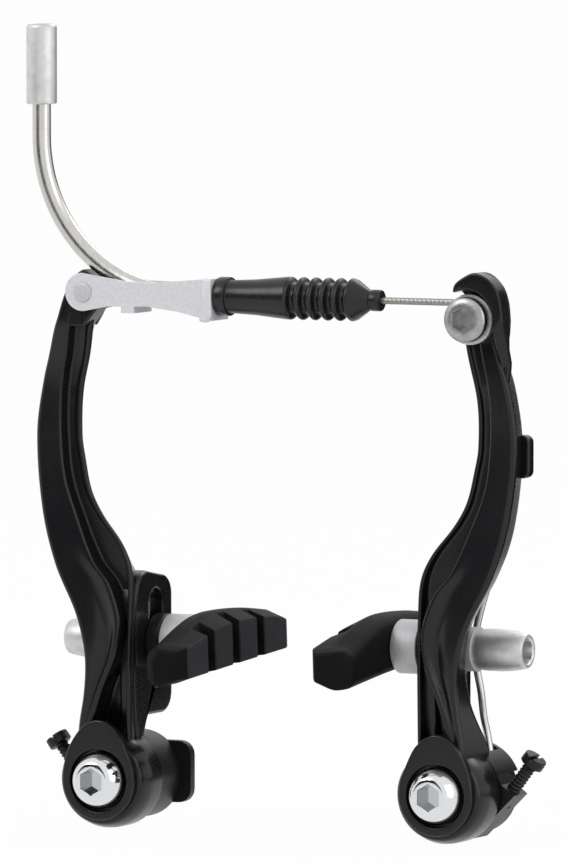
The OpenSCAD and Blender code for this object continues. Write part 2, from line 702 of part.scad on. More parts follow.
// Barrel nut with a hexagon socket in its outer end
module pad_nut() {
  mid = 0.45;
  prof = [for (k = [0:8]) let (u = k / 8, s = u < mid ? 0 : (u - mid) / (1 - mid))
    [nut_r + (nut_end_r - nut_r) * s * s - 0.3 * max(0, 1 - u / 0.2), u * nut_len]];
  color("#b3b6ba") at_post(nut_x0, 90) difference() {
    rotate_extrude() polygon(concat([[0, 0]], prof, [[0, nut_len]]));
    translate([0, 0, nut_len]) socket(5);
    translate([0, 0, -cut]) cylinder(h = nut_len, r = post_r + seat);
  }
}

// Link: a folded sheet with two cheeks, a floor and an end wall with a keyhole
link_eye_r = 4.1;
wall_top = wire_z + 3.8;
wall_low = wire_z - 5.1;
floor_x = 9.3 - pin_x;
module cheek() {
  polygon(concat(arc([-pin_x, arm_h], link_eye_r, 98, 274, 20),
    [[-pin_x + 5.8, wire_z - 2.6], [floor_x + 6, wire_z - 2.4], [link_end_x - 8, wire_z - 3.3],
     [link_end_x, wall_low], [link_end_x, wall_top], [link_end_x - 13, wire_z + 2.7],
     [link_end_x - 21, wire_z + 2.9]]));
}

module link() {
  color("#c3c4c6") difference() {
    union() {
      slab(fork_front, fork_front + sheet_t) cheek();
      slab(fork_back - sheet_t, fork_back) cheek();
      translate([link_end_x - sheet_t, back(fork_front), wall_low])
        cube([sheet_t, fork_back - fork_front, wall_top - wall_low]);
      translate([floor_x, back(fork_front), wire_z - 3.9]) cube([3.2, fork_back - fork_front, 1.7]);
    }
    rod_y(-pin_x, arm_h, -cut, pivot_depth, link_pin_r + seat);
    rod_wire(link_end_x - sheet_t - cut, link_end_x + cut, noodle_r + 0.1);
    translate([link_end_x - sheet_t - cut, back(wire_depth) - 1.1, wire_z])
      cube([sheet_t + 2 * cut, 2.2, wall_top - wire_z + cut]);
  }
}

// Pin with a head on each cheek
module link_pin() {
  head_r = link_pin_r + 0.9;
  color("#d0d2d4") {
    rod_y(-pin_x, arm_h, fork_front - 0.5, fork_back + 0.5, link_pin_r);
    rod_y(-pin_x, arm_h, fork_back, fork_back + 0.8, head_r);
  }
}

// Tube of two radii along the noodle's route: straight down, round the bend, along the wire
module noodle_sweep(r, x_end, z_top) {
  translate([noodle_x, back(wire_depth), bend_z]) cylinder(h = z_top - bend_z, r = r);
  translate([bend_x, back(wire_depth), bend_z]) rotate([90, 0, 0]) rotate_extrude(angle = 90, start = 180)
    translate([bend_r, 0]) circle(r);
  rod_wire(bend_x, x_end, r);
}

module noodle() {
  seat_r = link_gap / 2 - 0.2;
  color("#caccce") difference() {
    union() {
      noodle_sweep(noodle_r, noodle_tip_x, ferrule_z + ferrule_grip);
      rod_wire(link_end_x - sheet_t - 2.4, link_end_x - sheet_t - 0.02, seat_r);
    }
    noodle_sweep(bore_r, noodle_tip_x + cut, ferrule_z + ferrule_grip + cut);
  }
}

module noodle_liner() {
  color("#e4e2da") difference() {
    noodle_sweep(bore_r - seat, noodle_tip_x + 1, ferrule_z + ferrule_grip);
    noodle_sweep(cable_r + 0.2, noodle_tip_x + 1 + cut, ferrule_z + ferrule_grip + cut);
  }
}

// Ferrule that joins the outer housing to the noodle
module ferrule() {
  top = ferrule_z + ferrule_len;
  color("#b8babd") translate([noodle_x, back(wire_depth), 0]) difference() {
    union() {
      translate([0, 0, ferrule_z]) cylinder(h = ferrule_len - 0.5, r = ferrule_r);
      translate([0, 0, top - 0.5]) cylinder(h = 0.5, r1 = ferrule_r, r2 = ferrule_r - 0.4);
    }
    translate([0, 0, ferrule_z - cut]) cylinder(h = ferrule_grip + cut, r = noodle_r + seat);
    translate([0, 0, ferrule_z]) cylinder(h = ferrule_len, r = cable_r + 0.35);
    translate([0, 0, top - housing_depth]) cylinder(h = housing_depth + cut, r = housing_r + 0.1);
  }
}

// Rubber boot: a collar, a flared tube, bellows and a nose that wipes the wire
boot_wall = 0.9;
collar_len = 2.8;
tube_end = 17;
nose_len = 2.4;
cone_len = 4.3;
bellows_end = boot_len - nose_len - cone_len;
function fold_profile(r_out, r_in) = [for (k = [0:2 * folds - 2])
  [tube_end + (bellows_end - tube_end) * k / (2 * folds - 2), k % 2 == 0 ? r_out : r_in]];

module boot() {
  outer = concat([[0, 0], [0, boot_r - 0.6], [0.3, boot_r - 0.4], [collar_len - 0.3, boot_r - 0.4],
    [collar_len, boot_r - 1]], [[tube_end - 1.2, boot_r - 0.1]], fold_profile(boot_r, boot_r - 1.4),
    [[boot_len - nose_len, 1.95], [boot_len - nose_len + 0.2, 2.3], [boot_len - 0.2, 2.3],
    [boot_len, 2.1], [boot_len, 0]]);
  inner = concat([[8.3, 0], [8.3, boot_r - 1.6]], [[tube_end - 1.2, boot_r - 0.1 - boot_wall]],
    fold_profile(boot_r - boot_wall, boot_r - 1.4 - boot_wall), [[boot_len - nose_len - 0.2, 1.05],
    [boot_len - nose_len - 0.2, 0]]);
  color("#1d1d1f") translate([boot_x, back(wire_depth), wire_z]) rotate([0, 90, 0]) difference() {
    rotate_extrude() polygon([for (p = outer) [p[1], p[0]]]);
    rotate_extrude() polygon([for (p = inner) [p[1], p[0]]]);
    translate([0, 0, -cut]) cylinder(h = 8.3 + 2 * cut, r = noodle_r + seat);
    cylinder(h = boot_len + cut, r = cable_r + 0.1);
  }
}

// Inner wire: one piece from the ferrule, through the noodle and the boot, to the anchor
cable_end_x = anchor_x + 3.6;
cable_top_z = ferrule_z + ferrule_grip + 2;
cable_route = concat([[noodle_x, back(wire_depth), cable_top_z], [noodle_x, back(wire_depth), bend_z + 4]],
  [for (a = [0:9:90]) [bend_x - bend_r * cos(a), back(wire_depth), bend_z - bend_r * sin(a)]],
  [for (u = [0.15, 0.45, 0.75, 1]) [bend_x + (cable_end_x - bend_x) * u, back(wire_depth), wire_z]]);
module brake_cable() {
  color("#a9aaa5") wire(cable_route, cable_r);
}

module anchor_washer() {
  color("#d5d6d8") difference() {
    rod_y(anchor_x, anchor_z, wire_depth - cable_r - 0.02 - anchor_washer_t, wire_depth - cable_r - 0.02,
      anchor_washer_r);
    rod_y(anchor_x, anchor_z, 0, pivot_depth, anchor_r + 0.1);
  }
}

anchor_head_d = wire_depth - cable_r - 0.02 - anchor_washer_t;
module anchor_bolt() {
  color("#c9cbcd") translate([anchor_x, back(anchor_head_d), anchor_z]) rotate([90, 0, 0]) difference() {
    union() {
      cylinder(h = anchor_head_t - 0.5, r = anchor_head_r);
      translate([0, 0, anchor_head_t - 0.5]) cylinder(h = 0.5, r1 = anchor_head_r, r2 = anchor_head_r - 0.5);
      translate([0, 0, anchor_head_d - 10.5]) cylinder(h = 10.5 - anchor_head_d, r = anchor_r);
    }
    translate([0, 0, anchor_head_t]) socket(2.4);
  }
}

left_arm();
right_arm();
left() pivot_sleeve();  // left_pivot_sleeve
pivot_sleeve();  // right_pivot_sleeve
left() pivot_bolt();  // left_pivot_bolt
pivot_bolt();  // right_pivot_bolt
left() spring();  // left_spring
spring();  // right_spring
left() spring_cover();  // left_spring_cover
spring_cover();  // right_spring_cover
left() spring_plate();  // left_spring_plate
spring_plate();  // right_spring_plate
left() tension_screw();  // left_tension_screw
tension_screw();  // right_tension_screw
left() pad();  // left_pad
right_stack() pad();  // right_pad
left() pad_post();  // left_pad_post
right_stack() pad_post();  // right_pad_post
left() cup_washer();  // left_cup_washer
right_stack() cup_washer();  // right_cup_washer
left() inner_dome();  // left_inner_dome
right_stack() inner_dome();  // right_inner_dome
left() outer_dome();  // left_outer_dome
right_stack() outer_dome();  // right_outer_dome
left() thin_cup();  // left_thin_cup
right_stack() thin_cup();  // right_thin_cup
left() pad_nut();  // left_pad_nut
right_stack() pad_nut();  // right_pad_nut
link();
link_pin();
noodle();
noodle_liner();
ferrule();
boot();
brake_cable();
anchor_washer();
anchor_bolt();
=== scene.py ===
# %% [markdown]
# A linear-pull bicycle brake, dressed for a studio picture. The solids come from OpenSCAD and
# keep their place. This lesson gives them the smooth shapes and the finishes of the real brake:
# coated arms, a plated link, a chromed bolt, rubber pads and a rubber boot.
# All numbers for shapes are in millimetres, and they become metres when a mesh is made.

# %% Load the frame
import bmesh
import bpy
import numpy as np
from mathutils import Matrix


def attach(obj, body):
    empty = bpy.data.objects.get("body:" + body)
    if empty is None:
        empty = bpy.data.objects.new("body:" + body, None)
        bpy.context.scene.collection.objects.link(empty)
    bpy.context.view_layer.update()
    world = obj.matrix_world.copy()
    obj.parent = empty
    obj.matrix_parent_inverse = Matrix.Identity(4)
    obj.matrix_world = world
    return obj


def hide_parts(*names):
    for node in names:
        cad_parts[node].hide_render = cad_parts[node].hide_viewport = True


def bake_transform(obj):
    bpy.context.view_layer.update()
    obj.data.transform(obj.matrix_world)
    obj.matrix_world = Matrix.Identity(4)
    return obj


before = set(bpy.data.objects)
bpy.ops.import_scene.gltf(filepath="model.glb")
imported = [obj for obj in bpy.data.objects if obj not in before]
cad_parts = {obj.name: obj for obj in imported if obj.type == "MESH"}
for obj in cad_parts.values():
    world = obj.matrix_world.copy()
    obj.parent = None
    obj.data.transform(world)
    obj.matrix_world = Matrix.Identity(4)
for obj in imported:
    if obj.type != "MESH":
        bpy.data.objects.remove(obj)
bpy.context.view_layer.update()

print("solids:", len(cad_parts))

# %% [markdown]
# The camera comes first, because each later choice is judged through it. The photograph was
# taken from the right, 26 degrees round and a little above, with a long lens. Eight points of
# known size, such as the two pivots 80 mm apart, gave these angles and the scale in pixels.

# %% Camera at the photograph's angle
MM = 0.001
PIVOT_DEPTH = 23.5          # from the studs' shoulders to the front of the pivot ring
PIVOT_X = 40.0              # half the distance between the studs
HEIGHT, SENSOR = 865, 24.0  # of the photograph in pixels, and of the camera's sensor in mm
AZIMUTH, ELEVATION = np.radians(26.0), np.radians(3.8)
PIXELS_PER_MM, DISTANCE = 4.6804, 2500.0
AIM, AIM_PIXEL = np.array([0.0, 10 - PIVOT_DEPTH, 70.0]), (1.8, 25.8)

look = np.array([-np.sin(AZIMUTH) * np.cos(ELEVATION), np.cos(AZIMUTH) * np.cos(ELEVATION),
    -np.sin(ELEVATION)])
right = np.array([np.cos(AZIMUTH), np.sin(AZIMUTH), 0.0])
up = np.cross(right, look)
middle = AIM - right * AIM_PIXEL[0] / PIXELS_PER_MM + up * AIM_PIXEL[1] / PIXELS_PER_MM

def put(name, data):
    """A new object in the scene."""
    thing = bpy.data.objects.new(name, data)
    bpy.context.scene.collection.objects.link(thing)
    return thing

lens_data = bpy.data.cameras.new("camera")
lens_data.sensor_fit, lens_data.sensor_height = "VERTICAL", SENSOR
lens_data.lens = SENSOR * PIXELS_PER_MM * DISTANCE / HEIGHT
lens_data.clip_end = 50.0
camera = put("camera", lens_data)
camera.location = tuple((middle - look * DISTANCE) * MM)
from mathutils import Matrix
camera.rotation_euler = Matrix(np.stack([right, up, -look], 1).tolist()).to_euler()
bpy.context.scene.camera = camera
print("lens in mm:", round(lens_data.lens, 1))

# %% [markdown]
# Light comes next. A small product on white is lit by big soft lamps, so that bright metal shows
# mostly white. The world gives an even level, and three lamps give form. Three dark cards stand
# round the brake and one lies behind it, where the camera doesn't see them, as in a real studio.
# The black faces mirror them and stay deep, and their edges light up. The floor looks white to
# the camera and in reflections, but keeps a faint shadow.

# %% Studio light
LAMP_AIM = np.array([0, 0, 0.06])

def lamp(name, place, power, size, height):
    """A soft rectangular lamp at place, turned so that its -Z axis points to LAMP_AIM."""
    data = bpy.data.lights.new(name, "AREA")
    data.shape, data.size, data.size_y, data.energy = "RECTANGLE", size, height, power
    thing = put(name, data)
    to = LAMP_AIM - place
    to /= np.linalg.norm(to)
    side = np.cross(to, (0, 0, 1.0)); side /= np.linalg.norm(side)
    thing.matrix_world = Matrix.Translation(place) @ Matrix(
        np.stack([side, np.cross(side, to), -to], 1).tolist()).to_4x4()

lamp("key_lamp", (-0.55, -0.75, 0.75), 4.2, 0.55, 0.55)
lamp("side_lamp", (0.95, -0.25, 0.35), 2.6, 0.7, 0.9)
lamp("back_lamp", (0.15, 0.75, 0.8), 2.4, 0.9, 0.3)

# %% World and floor
scene = bpy.context.scene
scene.view_settings.view_transform = "Standard"
world = bpy.data.worlds.new("studio")
world.use_nodes = True
scene.world = world
tree = world.node_tree
tree.nodes.clear()

def seen_rays(tree):
    """1 for camera, glossy and transmission rays, and 0 for the rays that carry diffuse light."""
    path, first, both = (tree.nodes.new("ShaderNode" + k) for k in ("LightPath", "Math", "Math"))
    first.operation = both.operation = "MAXIMUM"
    link = tree.links.new
    link(path.outputs["Is Camera Ray"], first.inputs[0])
    link(path.outputs["Is Glossy Ray"], first.inputs[1])
    link(first.outputs[0], both.inputs[0])
    link(path.outputs["Is Transmission Ray"], both.inputs[1])
    return both.outputs[0]

def mixed(tree, factor, a, b, output):
    """Shader a where the factor is 0 and b where it is 1, led to the output's surface."""
    mix = tree.nodes.new("ShaderNodeMixShader")
    for source, socket in ((factor, "Fac"), (a.outputs[0], 1), (b.outputs[0], 2)):
        tree.links.new(source, mix.inputs[socket])
    tree.links.new(mix.outputs[0], output.inputs["Surface"])

plain, bright, out = (tree.nodes.new("ShaderNode" + k) for k in ("Background", "Background", "OutputWorld"))
plain.inputs["Color"].default_value = (0.52, 0.53, 0.55, 1)
bright.inputs["Color"].default_value = (1, 1, 1, 1)
mixed(tree, seen_rays(tree), plain, bright, out)

# %% Floor and dark cards
FLOOR_Z, FLOOR_REACH, CARD_FOOT, LOW_CARD_Z = -0.0108, 30.0, -0.01, -0.0104    # in metres

def studio_sheet(name, corners):
    """One flat face that belongs to the studio and not to the brake."""
    mesh = bpy.data.meshes.new(name)
    mesh.from_pydata([tuple(corner) for corner in corners], [], [(0, 1, 2, 3)])
    thing = put(name, mesh)
    return thing

def level_sheet(name, x0, x1, y0, y1, z):
    return studio_sheet(name, [(x0, y0, z), (x1, y0, z), (x1, y1, z), (x0, y1, z)])

def card(name, azimuth, away, width, top):
    """An upright dark card at an azimuth round the brake, away from it, facing it."""
    a = np.radians(azimuth)
    centre = away * np.array([np.sin(a), -np.cos(a), 0])
    along = np.array([np.cos(a), np.sin(a), 0]) * width / 2
    return studio_sheet(name, [centre + k * along + (0, 0, z) for k, z in (
        (-1, CARD_FOOT), (1, CARD_FOOT), (1, top), (-1, top))])

floor = level_sheet("floor", -FLOOR_REACH, FLOOR_REACH, -FLOOR_REACH, FLOOR_REACH, FLOOR_Z)
cards = [card("dark_card_left", -27, 1.1, 0.8, 0.7), card("dark_card_right", 66, 1.2, 0.28, 0.5),
    card("dark_card_back", 163, 1.2, 0.9, 0.5),
    level_sheet("dark_card_low", 0.02, 0.7, 0.06, 1.2, LOW_CARD_Z)]
for thing in cards:
    thing.visible_camera = False
cards[-1].visible_diffuse = cards[-1].visible_shadow = False

# %% [markdown]
# Finishes are made of shader maths. One small class wraps a socket, so that a mask can be
# written as plain arithmetic, and one method adds any other node. Every pattern reads the
# object's own coordinates, which are metres here, so a scale of 900 means about 1 mm.

# %% Shader maths
class Value:
    """A number that varies over the surface. Arithmetic on it adds Math nodes."""
    def __init__(self, finish, socket):
        self.finish, self.socket = finish, socket

    def _math(self, operation, *values):
        return self.finish.add("Math", values, operation=operation)

    def __add__(self, other): return self._math("ADD", self, other)
    def __radd__(self, other): return self._math("ADD", other, self)
    def __sub__(self, other): return self._math("SUBTRACT", self, other)
    def __rsub__(self, other): return self._math("SUBTRACT", other, self)
    def __mul__(self, other): return self._math("MULTIPLY", self, other)
    def __rmul__(self, other): return self._math("MULTIPLY", other, self)
    def over(self, other): return self._math("GREATER_THAN", self, other)
    def size(self): return self._math("ABSOLUTE", self)


class Finish:
    """One material with a Principled shader. add() makes any node, sets it, then fills its sockets."""
    def __init__(self, name, **constants):
        self.material = bpy.data.materials.new(name)
        self.material.use_nodes = True
        self.tree = self.material.node_tree
        self.shader = self.tree.nodes["Principled BSDF"]
        for key, value in constants.items():
            self.shader.inputs[key.replace("_", " ")].default_value = value
        self.place = self.add("TexCoord", {}, out="Object")

    def add(self, kind, sockets, out=0, **settings):
        node = self.tree.nodes.new("ShaderNode" + kind)
        for key, value in settings.items():
            setattr(node, key, value)
        pairs = sockets.items() if isinstance(sockets, dict) else enumerate(sockets)
        for key, value in pairs:
            if isinstance(value, Value):
                self.tree.links.new(value.socket, node.inputs[key])
            else:
                node.inputs[key].default_value = value
        return Value(self, node.outputs[out])

    def noise(self, scale, detail=2.0, rough=0.5, stretch=None):
        """Noise on the object's coordinates, from 0 to 1. stretch squeezes each axis by its own factor."""
        place = self.place
        if stretch:
            place = self.add("VectorMath", [place, stretch], operation="MULTIPLY")
        return self.add("TexNoise", {"Vector": place, "Scale": scale, "Detail": detail,
            "Roughness": rough})

    def axis(self, which):
        """One coordinate of the place, in metres."""
        return self.add("SeparateXYZ", [self.place], out=which)

    def blend(self, factor, a, b):
        """Colour a where the factor is 0, and b where it is 1."""
        a, b = (colour if isinstance(colour, Value) else (*colour, 1) for colour in (a, b))
        return self.add("Mix", {"Factor": factor, 6: a, 7: b}, out=2, data_type="RGBA")

    def feed(self, **values):
        for key, value in values.items():
            self.tree.links.new(value.socket, self.shader.inputs[key.replace("_", " ")])
        return self

    def bump(self, height, depth, strength=1.0):
        """Tilts the surface by a height map of that depth, in metres."""
        return self.feed(Normal=self.add("Bump", {
            "Strength": strength, "Distance": depth, "Height": height}, out="Normal"))

    def dress(self, pattern, low, high, roughness):
        """Base colour from low to high where the pattern goes from 0 to 1, and a roughness."""
        return self.feed(Base_Color=self.blend(pattern, low, high), Roughness=roughness)

def mottled(name, noise, low, high, rough, grain=None, bump=None, **constants):
    """A finish whose first noise mixes two colours. The grain, or the same noise where none is
    given, sets the roughness rough[0] + rough[1] * grain and the bump."""
    finish = Finish(name, **constants)
    pattern = finish.noise(*noise)
    grain = finish.noise(*grain) if grain else pattern
    finish.dress(pattern, low, high, rough[0] + rough[1] * grain)
    return finish.bump(grain, *bump) if bump else finish

# %% Floor and card finish
FLOOR_WHITE = 0.97          # the share of plain white in the seen floor, and the rest keeps the shadow
pale = Finish("pale_floor", Roughness=0.9)
pale.shader.inputs["Base Color"].default_value = (0.86, 0.86, 0.86, 1)
glow = pale.tree.nodes.new("ShaderNodeEmission")
seen = Value(pale, seen_rays(pale.tree)) * FLOOR_WHITE
mixed(pale.tree, seen.socket, pale.shader, glow, pale.tree.nodes["Material Output"])
floor.data.materials.append(pale.material)
velvet = Finish("dark_card", Roughness=1.0, Specular_IOR_Level=0.0)
velvet.shader.inputs["Base Color"].default_value = (0.02, 0.02, 0.022, 1)
for thing in cards:
    thing.data.materials.append(velvet.material)
print("floor and lamps ready")

# %% [markdown]
# The arms are forged aluminium under a smooth black coat. A dark base with a thin clear coat
# gives the wide soft reflections, and slow noise in the roughness keeps them from looking like
# plastic. A very fine bump stands for the grain that shows under the coat.

# %% Finish of the arms
arm_coat = Finish("arm_coat", Specular_IOR_Level=0.3, Coat_Roughness=0.08, Coat_Weight=0.12)
grain = arm_coat.noise(2600, 2.0)
cloud = arm_coat.noise(60, 3.0)
arm_coat.dress(cloud, (0.0045, 0.0048, 0.0055), (0.0085, 0.0088, 0.0100), 0.2 + 0.08 * cloud + 0.06 * grain)
arm_coat.bump(grain, 0.00002, 0.5)

# %% Finishes of bare and plated metal
SOCKET_SHADE_R, CROWN_D = 2.95, 0.2 - 3.3     # the mask of the painted shade in the hexagon socket: its radius, and the depth of the crown
chrome = Finish("bolt_chrome", Metallic=1.0)
streak = chrome.noise(500, 3.0, stretch=(1.0, 6.0, 1.0))
# Painted shade: inside the hexagon socket, below the crown, the chrome's base colour is a darker grey.
inside = SOCKET_SHADE_R * MM - chrome.add("VectorMath", {"Vector": chrome.add("CombineXYZ", [
    chrome.axis("X").size() - PIVOT_X * MM, 0.0, chrome.axis("Z")])}, out="Value", operation="LENGTH")
socket = inside.over(0.0) * chrome.axis("Y").over((CROWN_D - PIVOT_DEPTH) * MM)
bare = chrome.blend(streak, (0.66, 0.67, 0.69), (0.80, 0.81, 0.82))
# the grey (0.50, 0.51, 0.53) is the painted shade in the socket
chrome.dress(socket, bare, (0.50, 0.51, 0.53), 0.09 + 0.06 * streak)
chrome.bump(chrome.noise(1500), 0.000012, 0.4)

zinc = mottled("zinc_satin", (420, 4.0, 0.65), (0.46, 0.46, 0.46), (0.86, 0.855, 0.845), (0.36, 0.16),
    (2200, 4.0, 0.7), (0.00004, 0.6), Metallic=0.75)
worn_steel = mottled("worn_steel", (520, 4.0, 0.7), (0.20, 0.20, 0.20), (0.62, 0.62, 0.62), (0.24, 0.2),
    (1300, 4.0, 0.7), (0.00005, 0.6), Metallic=1.0)

matte_zinc = Finish("zinc_matte", Metallic=0.35)
speck = matte_zinc.noise(2600, 3.0, 0.6)
ripple = matte_zinc.noise(700, 2.0, stretch=(4.0, 1.0, 1.0))
matte_zinc.dress(ripple, (0.54, 0.535, 0.54), (0.70, 0.69, 0.70), 0.5 + 0.14 * speck)
matte_zinc.bump(ripple + 0.5 * speck, 0.00003, 0.5)

plate = mottled("link_plate", (1100, 4.0, 0.7), (0.60, 0.60, 0.625), (0.92, 0.92, 0.94), (0.48, 0.14),
    (2600, 4.0, 0.75), (0.00005, 0.7), Metallic=0.45)
tube_steel = mottled("tube_steel", (900, 3.0, 0.5, (1.0, 1.0, 0.25)), (0.50, 0.485, 0.46), (0.70, 0.69, 0.67),
    (0.2, 0.12), bump=(0.00001, 0.5), Metallic=1.0)
spring_steel = mottled("spring_wire", (1400, 2.0), (0.56, 0.56, 0.57), (0.70, 0.70, 0.70), (0.25, 0.15),
    Metallic=1.0)
strand_steel = mottled("strand_wire", (1800, 3.0), (0.20, 0.195, 0.18), (0.44, 0.43, 0.41), (0.3, 0.15),
    Metallic=1.0)
dark_steel = mottled("blackened_steel", (1500, 3.0), (0.008, 0.007, 0.006), (0.024, 0.020, 0.017), (0.3, 0.2),
    bump=(0.00003, 0.6), Metallic=0.55)
print("metal finishes:", len(bpy.data.materials))

# %% [markdown]
# Moulded parts differ from metal in their bump. The covers have the fine matte grain of a
# spark-eroded mould, the boot is smooth rubber, and the pad's friction blocks are a paler,
# rougher compound than its body. The pad's mask is the distance from the middle of the wheel.

# %% Finishes of plastic and rubber
BLACKS = (0.006, 0.006, 0.0065), (0.013, 0.013, 0.014)
cover_plastic = mottled("cover_plastic", (3200, 3.0), *BLACKS, (0.3, 0.16), bump=(0.00005, 0.6),
    Specular_IOR_Level=0.25)
boot_rubber = mottled("boot_rubber", (1400, 3.0), *BLACKS, (0.22, 0.14), bump=(0.00003, 0.6),
    Specular_IOR_Level=0.4)

FACE_X, FACE_DEEP = 14.5, 0.35     # the friction face, and how far behind it the paler rubber ends
pad_rubber = Finish("pad_rubber", Specular_IOR_Level=0.08)
speck = pad_rubber.noise(2400, 4.0, 0.7)
wear = pad_rubber.noise(260, 3.0)
face = 1 - (pad_rubber.axis("X").size()).over((FACE_X + FACE_DEEP) * MM)
body = pad_rubber.blend(wear, (0.0035, 0.0035, 0.004), (0.008, 0.0078, 0.009))
blocks = pad_rubber.blend(wear, (0.028, 0.028, 0.032), (0.046, 0.045, 0.051))
pad_rubber.dress(face, body, blocks, 0.48 + 0.2 * speck + 0.12 * face)
pad_rubber.bump(speck, 0.00006, 0.8)

liner_plastic = Finish("liner_plastic", Roughness=0.35)
speck = liner_plastic.noise(1200)
liner_plastic.feed(Base_Color=liner_plastic.blend(speck, (0.74, 0.73, 0.68), (0.82, 0.81, 0.77)))
print("all finishes:", len(bpy.data.materials))

# %% [markdown]
# Every new shape is a grid of points. Three makers cover the whole brake: a skin over rings, a
# profile turned round an axis, and a round section carried along a path. Each works on whole
# arrays. A local frame says where the grid's own axes lie.

# %% Grids and frames
def axes(origin, u, v, w):
    """A local frame: its origin and the directions of its u, v and w axes, all in millimetres."""
    return np.array([origin, u, v, w], float)

FRONT = axes((0, -PIVOT_DEPTH, 0), (1, 0, 0), (0, 0, 1), (0, 1, 0))   # u across, v up, w depth
ACROSS = axes((0, -PIVOT_DEPTH, 0), (0, 1, 0), (0, 0, 1), (1, 0, 0))  # u depth, v up, w across

def at(where, u, v, w):
    """Points origin + u U + v V + w W of a local frame, for arrays u, v and w."""
    u, v, w = np.broadcast_arrays(u, v, w)
    return where[0] + u[..., None] * where[1] + v[..., None] * where[2] + w[..., None] * where[3]

def beside(x, z, d=0.0):
    """A frame along the depth, at x and z, with w counted from depth d."""
    return axes(at(FRONT, x, z, float(d)), *FRONT[1:])

def on_post(x):
    """A frame along the pad's post, with w counted from x."""
    return axes(at(ACROSS, POST_D, PAD_Z, float(x)), *ACROSS[1:])

def moved(where, w):
    """The frame moved by w along its own w axis."""
    return np.concatenate([where[:1] + w * where[3:], where[1:]])

def skin(points, loop=False):
    """Closed skin over rings of points (rings, sides, 3): the quad of ring i and side j joins it
    to ring i + 1 and side j + 1. loop joins the last ring to the first, and else caps close the ends."""
    rings, sides = points.shape[:2]
    i = np.arange(rings if loop else rings - 1)[:, None]
    j = np.arange(sides)[None, :]
    below, above, j2 = i * sides, (i + 1) % rings * sides, (j + 1) % sides
    corners = np.broadcast_arrays(below + j, below + j2, above + j2, above + j)
    faces = np.stack(corners, -1).reshape(-1, 4).tolist()
    if not loop:
        faces += [list(range(sides)), list(range((rings - 1) * sides, rings * sides))]
    return points.reshape(-1, 3), faces

def mirrored(shells):
    """The same shells on the left side: x becomes -x."""
    return [(points * (-1, 1, 1), faces) for points, faces in shells]

# %% From shells to a piece
def welded(mesh, reach, crisp, melt=False):
    """Merges doubles within reach, turns faces outwards, and keeps edges over crisp degrees crisp
    while the rest shade smoothly. melt joins the faces of one plane."""
    form = bmesh.new()
    form.from_mesh(mesh)
    bmesh.ops.remove_doubles(form, verts=form.verts, dist=reach)
    if melt:
        bmesh.ops.dissolve_limit(form, angle_limit=np.radians(1.5), verts=form.verts, edges=form.edges)
    bmesh.ops.recalc_face_normals(form, faces=form.faces)
    form.to_mesh(mesh)
    form.free()
    mesh.shade_smooth()
    mesh.set_sharp_from_angle(angle=np.radians(crisp))

def piece(name, shells, finish, slot, body, node=None, crisp=38, flat=False):
    """One mesh object from closed shells. flat lets large faces set the shading, so that only the
    narrow rounded edges between them turn the light."""
    faces, start = [], 0
    for points, quads in shells:
        faces += [[k + start for k in quad] for quad in quads]
        start += len(points)
    mesh = bpy.data.meshes.new(name)
    mesh.from_pydata(np.concatenate([s[0] for s in shells]) * MM, [], faces)
    welded(mesh, 1e-8, crisp)
    mesh.materials.append(finish.material)
    thing = put(name, mesh)
    if flat:
        weigh = thing.modifiers.new("flat_faces", "WEIGHTED_NORMAL")
        weigh.keep_sharp, weigh.weight = True, 80
    if body:
        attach(thing, body)
    if node:
        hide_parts(node)
    return thing

def both_sides(name, shells, finish, slot, body, node, lift=0.0, **options):
    """The piece on the right, raised by lift, and its mirror image on the left. {} in body is the side."""
    piece("left_" + name, mirrored(shells), finish, slot, body.format("left"), "left_" + node, **options)
    raised = [(points + (0, 0, lift), faces) for points, faces in shells]
    piece("right_" + name, raised, finish, slot, body.format("right"), "right_" + node, **options)

# %% Outlines
def curve(table, z):
    """A smooth curve through knots (z, value): cubic pieces whose slope at a knot is the slope
    between its two neighbours."""
    at_z, value = np.array(table, float).T
    low, high = np.maximum(np.arange(len(at_z)) - 1, 0), np.minimum(np.arange(len(at_z)) + 1, len(at_z) - 1)
    slope = (value[high] - value[low]) / (at_z[high] - at_z[low])
    i = np.clip(np.searchsorted(at_z, z, side="right") - 1, 0, len(at_z) - 2)
    h = at_z[i + 1] - at_z[i]
    u = np.clip((z - at_z[i]) / h, 0, 1)
    v = 1 - u
    return ((1 + 2 * u) * v * v * value[i] + u * v * v * h * slope[i]
        + u * u * (3 - 2 * u) * value[i + 1] - u * u * v * h * slope[i + 1])

def smooth(points, steps):
    """A smooth path through listed points: on each span a cubic with slopes from the neighbours."""
    p = np.array(points, float)
    q = np.concatenate([p[:1], p, p[-1:]])
    a, b, c, d = (q[k:len(q) - 3 + k, None] for k in range(4))
    u = (np.arange(steps) / steps)[None, :, None]
    spans = b + 0.5 * u * (c - a + u * (2 * a - 5 * b + 4 * c - d + u * (3 * (b - c) + d - a)))
    return np.concatenate([spans.reshape(-1, p.shape[1]), p[-1:]])

def arc(cx, cy, r, a0, a1, n):
    """n + 1 points of a circle of radius r about (cx, cy), from angle a0 to a1 in degrees."""
    a = np.radians(np.linspace(a0, a1, n + 1))
    return np.stack([cx + r * np.cos(a), cy + r * np.sin(a)], -1)

def along_path(path, share):
    """Points of a path at shares of its length, from 0 to 1."""
    step = np.linalg.norm(np.diff(path, axis=0), axis=1)
    run = np.concatenate([[0], np.cumsum(step)]) / step.sum()
    return np.stack([np.interp(share, run, path[:, k]) for k in range(path.shape[1])], -1)

